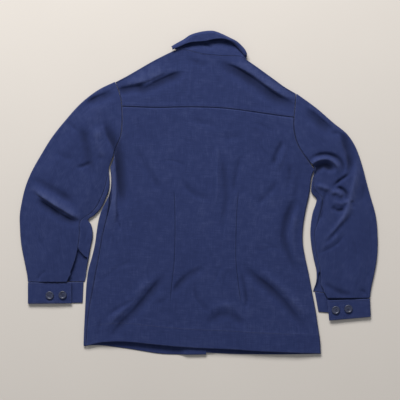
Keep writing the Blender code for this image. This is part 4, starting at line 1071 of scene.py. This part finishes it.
class Shade:
    """A material under construction."""

    def __init__(self, name):
        self.material = bpy.data.materials.new(name)
        self.material.use_nodes = True
        self.tree = self.material.node_tree
        self.surface = self.tree.nodes["Principled BSDF"]

    def node(self, kind, settings=None, inputs=None, stops=None):
        """Makes a node of a kind with its settings and stops, then sets or links its sockets."""
        made = self.tree.nodes.new(kind)
        for key, value in (settings or {}).items():
            setattr(made, key, value)
        if stops:
            ramp = made.color_ramp
            for number, (place, colour) in enumerate(stops):
                element = ramp.elements[number] if number < 2 else ramp.elements.new(place)
                element.position = place
                element.color = (*colour, 1.0)
        for key, value in (inputs or {}).items():
            self.join(made.inputs[key], value)
        return Made(self, made)

    def join(self, socket, value):
        """Links a socket to a value that varies, or sets it."""
        if isinstance(value, Link):
            self.tree.links.new(value.socket, socket)
        elif isinstance(value, Made):
            self.tree.links.new(value.node.outputs[0], socket)
        else:
            socket.default_value = value

    def set(self, **values):
        """Sets or links sockets of the surface shader, underscores standing for spaces."""
        for key, value in values.items():
            self.join(self.surface.inputs[key.replace("_", " ")], value)

    def note(self, name):
        """A point note of the mesh, as a number."""
        return self.node("ShaderNodeAttribute", {"attribute_name": name}).out("Fac")

    def noise(self, vector, scale, detail=2.0, roughness=0.5):
        """Noise between 0 and 1 on a vector."""
        settings = {"noise_dimensions": "3D"}
        inputs = {"Vector": vector, "Scale": scale, "Detail": detail, "Roughness": roughness}
        return self.node("ShaderNodeTexNoise", settings, inputs).out(0)

    def blend(self, factor, first, second):
        """A colour between two others."""
        inputs = {0: factor, 6: first, 7: second}
        made = self.node("ShaderNodeMix", {"data_type": "RGBA"}, inputs)
        return made.out(2)


def full(colour):
    """A colour with its alpha."""
    return (*colour[:3], 1.0)


def cloth_material(name, options, pieces_notes):
    """Navy linen and cotton: crossed threads, slubs and worn edges, with painted light and shade: high places
    painted lighter, crease troughs and the dart and hem lines painted darker.

    Height = warp wave * weft wave + slubs + fine crumple, all on the flat pattern, so that the
    threads follow the cloth.
    """
    shade = Shade(name)
    flat = shade.node("ShaderNodeUVMap", {"uv_map": "pattern"}).out(0)
    parts = shade.node("ShaderNodeSeparateXYZ", {}, {0: flat})
    u, v = parts.out("X"), parts.out("Y")
    turn = 2 * np.pi / options.thread_pitch
    wander = shade.noise(flat, 90.0, 1.0)
    warp = (u * turn + wander * 5.0).wave()
    weft = (v * turn + wander * 5.0).wave()
    weave = warp * weft
    long_ways = shade.node("ShaderNodeMapping", {}, {0: flat, 3: (900.0, 26.0, 1.0)}).out(0)
    cross_ways = shade.node("ShaderNodeMapping", {}, {0: flat, 3: (24.0, 820.0, 1.0)}).out(0)
    warp_slub = shade.noise(long_ways, 1.0, 2.0)
    weft_slub = shade.noise(cross_ways, 1.0, 2.0)
    place = shade.node("ShaderNodeTexCoord").out("Object")
    mottle = shade.noise(place, 75.0, 3.0)
    patchy = shade.noise(place, 9.0, 2.0)
    fine = shade.noise(place, 210.0, 2.0)
    threads = (warp_slub - 0.5) + (weft_slub - 0.5)
    relief = shade.note("relief")
    wear = shade.note("wear")
    lighter = threads * options.slub * 1.5 + (mottle - 0.5) * 0.5 + (patchy - 0.5) * 0.30 + weave * 0.10
    # Painted light and shade: the colour is lighter where the creases rise and darker where they sink.
    relief_painted_light = relief * 0.03
    crease_painted_shade = (relief * -0.13 - 0.1).clamped()
    rubbed = wear * (fine * 1.3 - 0.30).clamped() * options.edge_wear
    if "dart" in pieces_notes:
        dart = shade.note("dart")
        span = shade.note("dart_span")
        # Painted shade: a dark line down each dart's fold; 1.9 mm beside it the cloth is made a little
        # lighter.
        line = dart.peak(1.3) * span
        beside = (dart - 1.9).peak(1.6) * span
        # Painted shade: a dark line along the hem's stitching, 1.5 mm inside the turned hem's edge; 0.2 mm
        # inside that edge the cloth is made a little lighter.
        hem = shade.note("hem")
        hem_painted_shade = (hem + 1.5).peak(1.2)
        rubbed = rubbed + beside * 0.12 + (hem + 0.2).peak(1.6) * 0.12
        # dark holds the painted shade of the dart and hem lines.
        dark = line * 0.75 + hem_painted_shade * 0.22
    else:
        dark = 0.0
    tone = (0.5 + lighter * 0.55 + relief_painted_light + rubbed * 0.8).clamped()
    stops = (
        (0.0, tuple(0.50 * c for c in options.colour)),
        (0.5, tuple(options.colour)),
        (1.0, tuple(options.worn_colour)),
    )
    ramp = shade.node("ShaderNodeValToRGB", {}, {0: tone}, stops).out(0)
    # Painted shade: the colour is blended towards a quarter of the cloth's colour in crease troughs and along
    # the dart and hem lines.
    colour = shade.blend((crease_painted_shade * 0.75 + dark).clamped(), ramp, full([0.25 * c for c in options.colour]))
    height = weave * 0.35 + threads * 0.9 + (mottle - 0.5) * 0.9 + (fine - 0.5) * 0.5 - 2.4 * dark
    bump = shade.node("ShaderNodeBump", {}, {"Strength": 0.85, "Distance": 0.00042, "Height": height})
    shade.set(Base_Color=colour, Roughness=0.80 + (fine - 0.5) * 0.2, Normal=bump.out(0), Metallic=0.0,
              Sheen_Weight=0.10, Sheen_Roughness=0.45, Sheen_Tint=(0.62, 0.68, 1.0, 1.0),
              Specular_IOR_Level=0.10)
    return shade.material


def thread_material(name, colour):
    """Sewing thread: two plies twisted round each other, as a fine wave on its own length."""
    shade = Shade(name)
    place = shade.node("ShaderNodeTexCoord").out("Object")
    parts = shade.node("ShaderNodeSeparateXYZ", {}, {0: place})
    twist = ((parts.out("X") + parts.out("Y")) * 9000.0).wave()
    shift = shade.noise(place, 400.0, 1.0)
    tone = (0.5 + twist * 0.25 + (shift - 0.5) * 0.6).clamped()
    mixed = shade.blend(tone, full([0.6 * c for c in colour]), full([1.5 * c for c in colour]))
    bump = shade.node("ShaderNodeBump", {}, {"Strength": 0.5, "Distance": 0.0001, "Height": twist})
    shade.set(Base_Color=mixed, Roughness=0.75, Normal=bump.out(0))
    return shade.material


def button_material(name, options):
    """Moulded dark button: cloudy swirls in the resin, a satin face and fine wear."""
    shade = Shade(name)
    place = shade.node("ShaderNodeTexCoord").out("Object")
    cloud = shade.noise(place, 260.0, 4.0, 0.6)
    swirl = (cloud * 14.0).wave() * 0.5 + 0.5
    fine = shade.noise(place, 2400.0, 2.0)
    dark = full(options.button_colour)
    light = full([2.6 * c + 0.01 for c in options.button_colour])
    colour = shade.blend((swirl * 0.7 + (fine - 0.5) * 0.3).clamped(), dark, light)
    bump = shade.node("ShaderNodeBump", {}, {"Strength": 0.3, "Distance": 0.00008, "Height": fine})
    shade.set(Base_Color=colour, Roughness=0.34 + (cloud - 0.5) * 0.25, Normal=bump.out(0),
              Specular_IOR_Level=0.5)
    return shade.material


def floor_material(name, colour):
    """Plain pale floor with a faint unevenness."""
    shade = Shade(name)
    place = shade.node("ShaderNodeTexCoord").out("Object")
    cloud = shade.noise(place, 2.2, 4.0, 0.55)
    tone = shade.blend(cloud, full([0.965 * c for c in colour]), full([min(1.035 * c, 1.0) for c in colour]))
    shade.set(Base_Color=tone, Roughness=0.9, Specular_IOR_Level=0.2)
    return shade.material


# Sewing


def ground_of(pieces):
    """A search tree over the finished pieces, to lay stitches on the uppermost cloth."""
    points, faces = [], []
    for thing in pieces:
        offset = len(points)
        points += [vertex.co.copy() for vertex in thing.data.vertices]
        faces += [tuple(offset + corner for corner in face.vertices) for face in thing.data.polygons]
    return BVHTree.FromPolygons(points, faces)


def stitch_places(line, pitch):
    """Middles and directions of stitches along a smooth line, one every pitch."""
    dense = smooth_line(line, spread(400))
    run = np.concatenate(([0.0], np.cumsum(np.linalg.norm(np.diff(dense, axis=0), axis=1))))
    where = np.arange(pitch / 2, run[-1] - pitch / 2, pitch)
    ahead = np.stack([np.interp(where + 0.4 * pitch, run, dense[:, k]) for k in range(2)], axis=1)
    behind = np.stack([np.interp(where - 0.4 * pitch, run, dense[:, k]) for k in range(2)], axis=1)
    return behind, ahead


def thread_mesh(name, centre, radius):
    """Tubes of six sides along rows of centre points, closed at both ends by a point.

    Each ring is centre + radius * (side * cos a + up * sin a).
    """
    out = unit(np.gradient(centre, axis=1))
    side = unit(np.cross(out, np.array([0.0, 0.0, 1.0])))
    up = np.cross(side, out)
    angle = np.arange(6) * np.pi / 3
    ring = side[:, :, None] * np.cos(angle)[:, None] + up[:, :, None] * np.sin(angle)[:, None]
    points = centre[:, :, None] + ring * radius[..., None, None]
    count, sections = centre.shape[:2]
    caps = np.stack((centre[:, 0], centre[:, -1]), axis=1)
    points = np.concatenate((points.reshape(count, -1, 3), caps), axis=1)
    each = points.shape[1]
    first, last = 6 * sections, 6 * sections + 1
    sides, ends = [], []
    for k in range(sections - 1):
        for j in range(6):
            after = (j + 1) % 6
            sides.append((6 * k + j, 6 * k + 6 + j, 6 * k + 6 + after, 6 * k + after))
    for j in range(6):
        after = (j + 1) % 6
        ends.append((first, j, after))
        ends.append((last, 6 * (sections - 1) + after, 6 * (sections - 1) + j))
    offset = (np.arange(count) * each)[:, None, None]
    quads = (np.array(sides)[None] + offset).reshape(-1, 4).tolist()
    fans = (np.array(ends)[None] + offset).reshape(-1, 3).tolist()
    return mesh_object(name, points.reshape(-1, 3), quads + fans)


def lay_stitches(name, lines, ground, pitch, width, top=0.2):
    """Short threads lying on the cloth along each line: an arched tube of six sides for each stitch.

    At the share t of a stitch its middle is behind + (ahead - behind) * t, lifted off the cloth by
    width * (0.2 + 0.35 sin(pi t)), and its radius is width / 2 * (0.55 + 0.45 sin(pi t)).
    """
    ends = [stitch_places(line, pitch) for line in lines]
    behind = np.concatenate([pair[0] for pair in ends])
    ahead = np.concatenate([pair[1] for pair in ends])
    steps = spread(5)
    level = np.zeros((len(behind), len(steps)))
    for number, (start, end) in enumerate(zip(behind, ahead)):
        for k in (0, 4):
            flat = start + (end - start) * steps[k]
            hit = ground.ray_cast(Vector((flat[0] * MM, flat[1] * MM, top)), Vector((0, 0, -1)))
            level[number, k] = hit[0].z / MM if hit[0] is not None else np.nan
    good = np.isfinite(level[:, 0]) & np.isfinite(level[:, 4]) & (np.abs(level[:, 0] - level[:, 4]) < pitch)
    behind, ahead, level = behind[good], ahead[good], level[good]
    base = level[:, :1] + (level[:, 4:] - level[:, :1]) * steps
    arch = np.sin(np.pi * steps)
    centre = behind[:, None] + (ahead - behind)[:, None] * steps[None, :, None]
    centre = np.concatenate((centre, (base + width * (0.2 + 0.35 * arch))[..., None]), axis=2)
    radius = np.broadcast_to(width / 2 * (0.55 + 0.45 * arch), centre.shape[:2])
    return thread_mesh(name, centre, radius)


def beside(line, offset):
    """A line moved square to itself, to its left for a positive offset."""
    dense = smooth_line(line, spread(30))
    return dense + inward_of(dense, 1) * offset


def hole_places(turned):
    """The middles of a button's four holes, from the button's own middle."""
    angle = turned + np.arange(4) * np.pi / 2
    return HOLE_RING * np.column_stack((np.cos(angle), np.sin(angle)))


def button_mesh(name, centre, foot, profile, turned, flip):
    """A four-hole button turned from a profile of (radius, height), its holes sunk into the face.

    Face height = profile height - 1.5 * (1 - fade(distance to the nearest hole - 0.75, 0.35)).
    """
    sides = 64
    profile = to_array(profile)
    rim = smooth_line(profile[1:-1], spread(20))
    inner = rim[-1, 0]
    reach = np.linspace(inner, 0.2, 30)[1:]
    face = np.stack((reach, np.full(len(reach), profile[-1, 1])), axis=1)
    rings = np.concatenate((np.array([[3.0, profile[0, 1]]]), rim, face))
    angle = np.arange(sides) * 2 * np.pi / sides
    x = rings[:, :1] * np.cos(angle)
    y = rings[:, :1] * np.sin(angle)
    z = np.repeat(rings[:, 1:], sides, axis=1)
    nearest = np.minimum.reduce([np.hypot(x - hx, y - hy) for hx, hy in hole_places(turned)])
    on_face = (np.arange(len(rings)) > len(rim))[:, None]
    z = z - on_face * 1.5 * (1 - fade(nearest - 0.75, 0.35))
    points = np.stack((x, y, z), axis=-1).reshape(-1, 3)
    points = np.concatenate((points, [[0, 0, profile[0, 1]], [0, 0, profile[-1, 1]]]))
    if flip:
        points[:, 2] = profile[:, 1].max() - points[:, 2]
    points += np.array([centre[0], centre[1], foot])
    index = np.arange(len(rings) * sides).reshape(len(rings), sides)
    after = np.roll(index, -1, axis=1)
    quads = np.stack((index[:-1], after[:-1], after[1:], index[1:]), axis=-1).reshape(-1, 4).tolist()
    base, top = len(points) - 2, len(points) - 1
    fans = [(base, int(after[0, k]), int(index[0, k])) for k in range(sides)]
    fans += [(top, int(index[-1, k]), int(after[-1, k])) for k in range(sides)]
    faces = quads + fans
    if flip:
        faces = [tuple(reversed(face)) for face in faces]
    return mesh_object(name, points, faces)


def button_threads(centre, level, turned, flip):
    """The threads of one button: two bars side by side, each hole to hole over the face."""
    bars = []
    steps = spread(7)
    holes = hole_places(turned)
    for k in (0, 2):
        for shift in (-0.22, 0.22):
            start, end = holes[k], holes[k + 1]
            out = unit(end - start)
            flat = start + (end - start) * steps[:, None] + np.array([-out[1], out[0]]) * shift
            rise = (np.sin(np.pi * steps) ** 0.5) * 0.75 - 0.45
            bars.append(np.column_stack((flat + np.array(centre), level + (-rise if flip else rise))))
    return np.stack(bars)


def aim(thing, target):
    """Turns a lamp or a camera to look at a point."""
    thing.rotation_euler = (Vector(target) - thing.location).to_track_quat("-Z", "Y").to_euler()


class JacketCloth(bpy.types.PropertyGroup):
    """What a user may change about the cloth."""

    colour: bpy.props.FloatVectorProperty(
        name="Cloth", description="Colour of the cloth where it lies flat", subtype="COLOR", size=3,
        default=(0.0225, 0.0345, 0.115), min=0, max=1)
    worn_colour: bpy.props.FloatVectorProperty(
        name="Worn cloth", description="Colour of rubbed edges and light slubs", subtype="COLOR", size=3,
        default=(0.075, 0.095, 0.215), min=0, max=1)
    thread_pitch: bpy.props.FloatProperty(
        name="Thread pitch", description="Distance from one thread to the next", unit="LENGTH",
        default=0.0011, min=0.0002, max=0.01, precision=5)
    slub: bpy.props.FloatProperty(
        name="Slubs", description="How strongly thick and thin threads show", subtype="FACTOR",
        default=0.42, min=0, max=2)
    edge_wear: bpy.props.FloatProperty(
        name="Edge wear", description="How far seams and edges are rubbed lighter", subtype="FACTOR",
        default=0.45, min=0, max=2)
    crease_depth: bpy.props.FloatProperty(
        name="Crease depth", description="Share of the creases' full height", subtype="FACTOR",
        default=1.0, min=0, max=1.5)


class JacketSewing(bpy.types.PropertyGroup):
    """What a user may change about the stitches."""

    pitch: bpy.props.FloatProperty(
        name="Stitch pitch", description="Distance from one stitch to the next", unit="LENGTH",
        default=0.0030, min=0.001, max=0.02, precision=5)
    thickness: bpy.props.FloatProperty(
        name="Thread thickness", description="Thickness of the sewing thread", unit="LENGTH",
        default=0.00055, min=0.0001, max=0.003, precision=5)
    colour: bpy.props.FloatVectorProperty(
        name="Thread", description="Colour of the sewing thread", subtype="COLOR", size=3,
        default=(0.040, 0.050, 0.130), min=0, max=1)


class JacketButtons(bpy.types.PropertyGroup):
    """What a user may change about the buttons."""

    button_colour: bpy.props.FloatVectorProperty(
        name="Buttons", description="Darkest colour in the resin of the buttons", subtype="COLOR", size=3,
        default=(0.016, 0.020, 0.042), min=0, max=1)


class JacketStage(bpy.types.PropertyGroup):
    """What a user may change about the floor, the light and the camera."""

    floor_colour: bpy.props.FloatVectorProperty(
        name="Floor", description="Colour of the floor", subtype="COLOR", size=3,
        default=(0.640, 0.600, 0.560), min=0, max=1)
    sky: bpy.props.FloatProperty(
        name="Sky", description="Strength of the light from all round", default=0.30, min=0, max=5)
    lamp: bpy.props.FloatProperty(
        name="Lamp", description="Power of the soft lamp at the collar end", unit="POWER",
        default=210.0, min=0, max=2000)
    camera_height: bpy.props.FloatProperty(
        name="Camera height", description="Height of the camera over the floor", unit="LENGTH",
        default=2.6, min=1, max=6)
    picture_width: bpy.props.FloatProperty(
        name="Picture width", description="Width of floor that the picture takes in", unit="LENGTH",
        default=0.98, min=0.3, max=3)


def shared(name, make, *details):
    """The material of this name, made once."""
    return bpy.data.materials.get(name) or make(name, *details)


def plain_cloth(scene):
    """The cloth of every panel but the lower back."""
    return shared("navy_cloth", cloth_material, scene.jacket_cloth, ())


class JACKET_OT_back(bpy.types.Operator):
    """Makes the lower back and the yoke, with their creases, waist darts and turned edges"""

    bl_idname = "jacket.back"
    bl_label = "Back and Yoke"

    def execute(self, context):
        options = context.scene.jacket_cloth
        creases = SHOULDER_CREASES + BACK_CREASES
        grid, notes = back_grid(creases, options.crease_depth)
        back = cloth_piece("back_panel_cloth", grid, CLOTH, notes)
        darted = shared("navy_cloth_darted", cloth_material, options, ("dart",))
        settle(back, darted, ("back_panel",))
        grid, notes, across = yoke_grid(creases, options.crease_depth)
        yoke = cloth_piece("back_yoke_cloth", grid, CLOTH, notes)
        settle(yoke, plain_cloth(context.scene), ("back_yoke",))
        return {"FINISHED"}


class JACKET_OT_fronts(bpy.types.Operator):
    """Makes both fronts, face down under the back, the left one lapped over the right"""

    bl_idname = "jacket.fronts"
    bl_label = "Fronts"

    def execute(self, context):
        cloth = plain_cloth(context.scene)
        left = cloth_piece("front_left_cloth", left_front_grid(), CLOTH)
        settle(left, cloth, ("front_left",))
        right = cloth_piece("front_right_cloth", right_front_grid(), CLOTH)
        settle(right, cloth, ("front_right",))
        return {"FINISHED"}


class JACKET_OT_sleeves(bpy.types.Operator):
    """Makes both sleeves, laid flat with the folds at their elbows and open slits at the cuffs"""

    bl_idname = "jacket.sleeves"
    bl_label = "Sleeves"

    def execute(self, context):
        strength = context.scene.jacket_cloth.crease_depth
        cloth = plain_cloth(context.scene)
        grid, notes = sleeve_grid(SLEEVE_LEFT, ARMHOLE_LEFT, ARMHOLE_FRONT_LEFT,
                                  SHOULDER_CREASES + LEFT_SLEEVE_CREASES, strength)
        left = cloth_piece("sleeve_left_cloth", grid, CLOTH, notes)
        settle(left, cloth, ("sleeve_left",))
        grid, notes = sleeve_grid(SLEEVE_RIGHT, ARMHOLE_RIGHT, ARMHOLE_FRONT_RIGHT,
                                  SHOULDER_CREASES + RIGHT_SLEEVE_CREASES, strength)
        right = cloth_piece("sleeve_right_cloth", grid, CLOTH, notes)
        settle(right, cloth, ("sleeve_right",))
        return {"FINISHED"}


class JACKET_OT_cuffs(bpy.types.Operator):
    """Makes both cuff bands of doubled cloth, open at the slit"""

    bl_idname = "jacket.cuffs"
    bl_label = "Cuffs"

    def execute(self, context):
        cloth = plain_cloth(context.scene)
        left = cloth_piece("cuff_left_cloth", cuff_grid(CUFF_LEFT), CUFF_CLOTH)
        settle(left, cloth, ("cuff_left",))
        right = cloth_piece("cuff_right_cloth", cuff_grid(CUFF_RIGHT), CUFF_CLOTH)
        settle(right, cloth, ("cuff_right",))
        return {"FINISHED"}


class JACKET_OT_collar(bpy.types.Operator):
    """Makes the turned-up back of the collar and its two leaves under the fronts"""

    bl_idname = "jacket.collar"
    bl_label = "Collar"

    def execute(self, context):
        cloth = plain_cloth(context.scene)
        options = context.scene.jacket_cloth
        yoke, _, across = yoke_grid(SHOULDER_CREASES + BACK_CREASES, options.crease_depth)
        held = (across > NECK_FROM + 0.018) & (across < NECK_FROM + NECK_SHARE - 0.002)
        collar = cloth_piece("collar_cloth", collar_grid(yoke[-1, held]), COLLAR_CLOTH)
        settle(collar, cloth, ("collar",))
        for side, outline in (("left", LEAF_LEFT), ("right", LEAF_RIGHT)):
            leaf = cloth_piece(f"collar_leaf_{side}_cloth", leaf_grid(outline), COLLAR_CLOTH)
            settle(leaf, cloth, (f"collar_leaf_{side}",))
        return {"FINISHED"}


class JACKET_OT_buttons(bpy.types.Operator):
    """Makes the cuffs' buttons, sewn on through four holes, and, under the placket, the front's four-hole
    buttons
    """

    bl_idname = "jacket.buttons"
    bl_label = "Buttons"

    def execute(self, context):
        resin = button_material("button_resin", context.scene.jacket_buttons)
        top = CUFF_CLOTH + 2 * CUFF_RADIUS + SEAM
        bars = []
        for number, (name, centre) in enumerate(CUFF_BUTTONS.items()):
            turned = 0.5 + 0.6 * number
            button = button_mesh(name + "_turned", centre, top, CUFF_BUTTON, turned, False)
            settle(button, resin, (name,))
            bars.append(button_threads(centre, top + CUFF_BUTTON[-1][1], turned, False))
        for number, y in enumerate(FRONT_BUTTON_ROWS, start=1):
            button = button_mesh(f"front_button_{number}_turned", (CENTRE_X, y), 0.0, FRONT_BUTTON, 0.8, True)
            settle(button, resin, (f"front_button_{number}",))
        bars = np.concatenate(bars)
        colour = context.scene.jacket_sewing.colour
        thread = shared("thread", thread_material, colour)
        settle(thread_mesh("button_threads", bars, np.full(bars.shape[:2], 0.24)), thread, ())
        return {"FINISHED"}


class JACKET_OT_stitching(bpy.types.Operator):
    """Lays the topstitching of the yoke, the armholes, the hem, the side seam and the cuffs"""

    bl_idname = "jacket.stitching"
    bl_label = "Stitching"

    def execute(self, context):
        sewing = context.scene.jacket_sewing
        thread = shared("thread", thread_material, sewing.colour)
        names = ("back_panel_cloth", "back_yoke_cloth", "front_left_cloth", "sleeve_left_cloth",
                 "sleeve_right_cloth", "cuff_left_cloth", "cuff_right_cloth", "collar_cloth")
        ground = ground_of([bpy.data.objects[name] for name in names])
        pitch, width = sewing.pitch / MM, sewing.thickness / MM
        hem = [(x, y + HEM_DEEP - 2) for x, y in HEM_BACK[1:-1]]
        lines = {
            "yoke": [beside(YOKE_SEAM, 2.6)],
            "armholes": [beside(ARMHOLE_LEFT, -2.4), beside(ARMHOLE_RIGHT, 2.4)],
            "hem": [hem],
            "side_seam": [beside(SIDE_SEAM_LEFT[:-1], 2.6)],
            "cuffs": cuff_lines(CUFF_LEFT) + cuff_lines(CUFF_RIGHT),
        }
        for key, paths in lines.items():
            laid = lay_stitches(f"stitches_{key}", paths, ground, pitch, width)
            settle(laid, thread, ())
        return {"FINISHED"}


def cuff_lines(cuff):
    """The stitching lines of a cuff's upper side, 3.5 mm in from its edges."""
    fold_top, fold_foot = to_array(cuff.fold_top), to_array(cuff.fold_foot)
    free_top, free_foot = to_array(cuff.free_top), to_array(cuff.free_foot)
    along = unit(free_top - fold_top)
    down = unit(free_foot - free_top)
    inset = CUFF_STITCH
    top = (fold_top + along * 6 + down * inset, free_top - along * inset + down * inset)
    foot = (fold_foot + along * 6 - down * inset, free_foot - along * inset - down * inset)
    end = (free_top - along * inset + down * inset, free_foot - along * inset - down * inset)
    return [np.stack((a, (a + b) / 2, b)) for a, b in (top, foot, end)]


class JACKET_OT_stage(bpy.types.Operator):
    """Makes the floor, the soft light and the camera over the jacket"""

    bl_idname = "jacket.stage"
    bl_label = "Stage"

    def execute(self, context):
        scene = context.scene
        options = scene.jacket_stage
        signs = ((-1, -1), (1, -1), (1, 1), (-1, 1))
        corners = [(x * FLOOR_HALF, y * FLOOR_HALF, -FLOOR_DROP) for x, y in signs]
        floor = mesh_object("floor", corners, [(0, 1, 2, 3)])
        floor.data.materials.append(floor_material("pale_floor", options.floor_colour))
        world = bpy.data.worlds.new("room")
        world.use_nodes = True
        back = world.node_tree.nodes["Background"]
        back.inputs["Color"].default_value = (0.96, 0.98, 1.0, 1.0)
        back.inputs["Strength"].default_value = options.sky
        scene.world = world
        light = bpy.data.lights.new("soft_lamp", "AREA")
        light.shape = "RECTANGLE"
        light.size = 2.2
        light.size_y = 1.4
        light.energy = options.lamp
        light.color = (1.0, 0.985, 0.96)
        lamp = bpy.data.objects.new("soft_lamp", light)
        lamp.location = (-0.7, 3.1, 2.3)
        aim(lamp, (0, 0.05, 0))
        scene.collection.objects.link(lamp)
        view = bpy.data.cameras.new("camera")
        view.lens = view.sensor_width * options.camera_height / options.picture_width
        camera = bpy.data.objects.new("camera", view)
        camera.location = (0.0031, -0.0172, options.camera_height)
        scene.collection.objects.link(camera)
        scene.camera = camera
        scene.view_settings.view_transform = "Standard"
        return {"FINISHED"}


class JACKET_PT_panel(bpy.types.Panel):
    """The jacket's steps and sizes in the sidebar"""

    bl_label = "Laid Work Jacket"
    bl_idname = "JACKET_PT_panel"
    bl_space_type = "VIEW_3D"
    bl_region_type = "UI"
    bl_category = "Jacket"

    def draw(self, context):
        layout = self.layout
        for step in STEPS:
            layout.operator(step.bl_idname)
        for key, group in GROUPS.items():
            box = layout.box()
            options = getattr(context.scene, key)
            for name in group.__annotations__:
                box.prop(options, name)


STEPS = (
    JACKET_OT_fronts, JACKET_OT_back, JACKET_OT_sleeves, JACKET_OT_cuffs, JACKET_OT_collar,
    JACKET_OT_buttons, JACKET_OT_stitching, JACKET_OT_stage,
)
GROUPS = {
    "jacket_cloth": JacketCloth,
    "jacket_sewing": JacketSewing,
    "jacket_buttons": JacketButtons,
    "jacket_stage": JacketStage,
}


def register():
    """Registers the groups, the steps and the panel."""
    for key, group in GROUPS.items():
        bpy.utils.register_class(group)
        setattr(bpy.types.Scene, key, bpy.props.PointerProperty(type=group))
    for step in STEPS:
        bpy.utils.register_class(step)
    bpy.utils.register_class(JACKET_PT_panel)


def unregister():
    """Takes the panel, the steps and the groups away again."""
    bpy.utils.unregister_class(JACKET_PT_panel)
    for step in reversed(STEPS):
        bpy.utils.unregister_class(step)
    for key, group in reversed(GROUPS.items()):
        delattr(bpy.types.Scene, key)
        bpy.utils.unregister_class(group)


def main():
    """Registers the add-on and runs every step."""
    register()
    bpy.ops.jacket.fronts()
    bpy.ops.jacket.back()
    bpy.ops.jacket.sleeves()
    bpy.ops.jacket.cuffs()
    bpy.ops.jacket.collar()
    bpy.ops.jacket.buttons()
    bpy.ops.jacket.stitching()
    bpy.ops.jacket.stage()


if __name__ == "__main__":
    main()
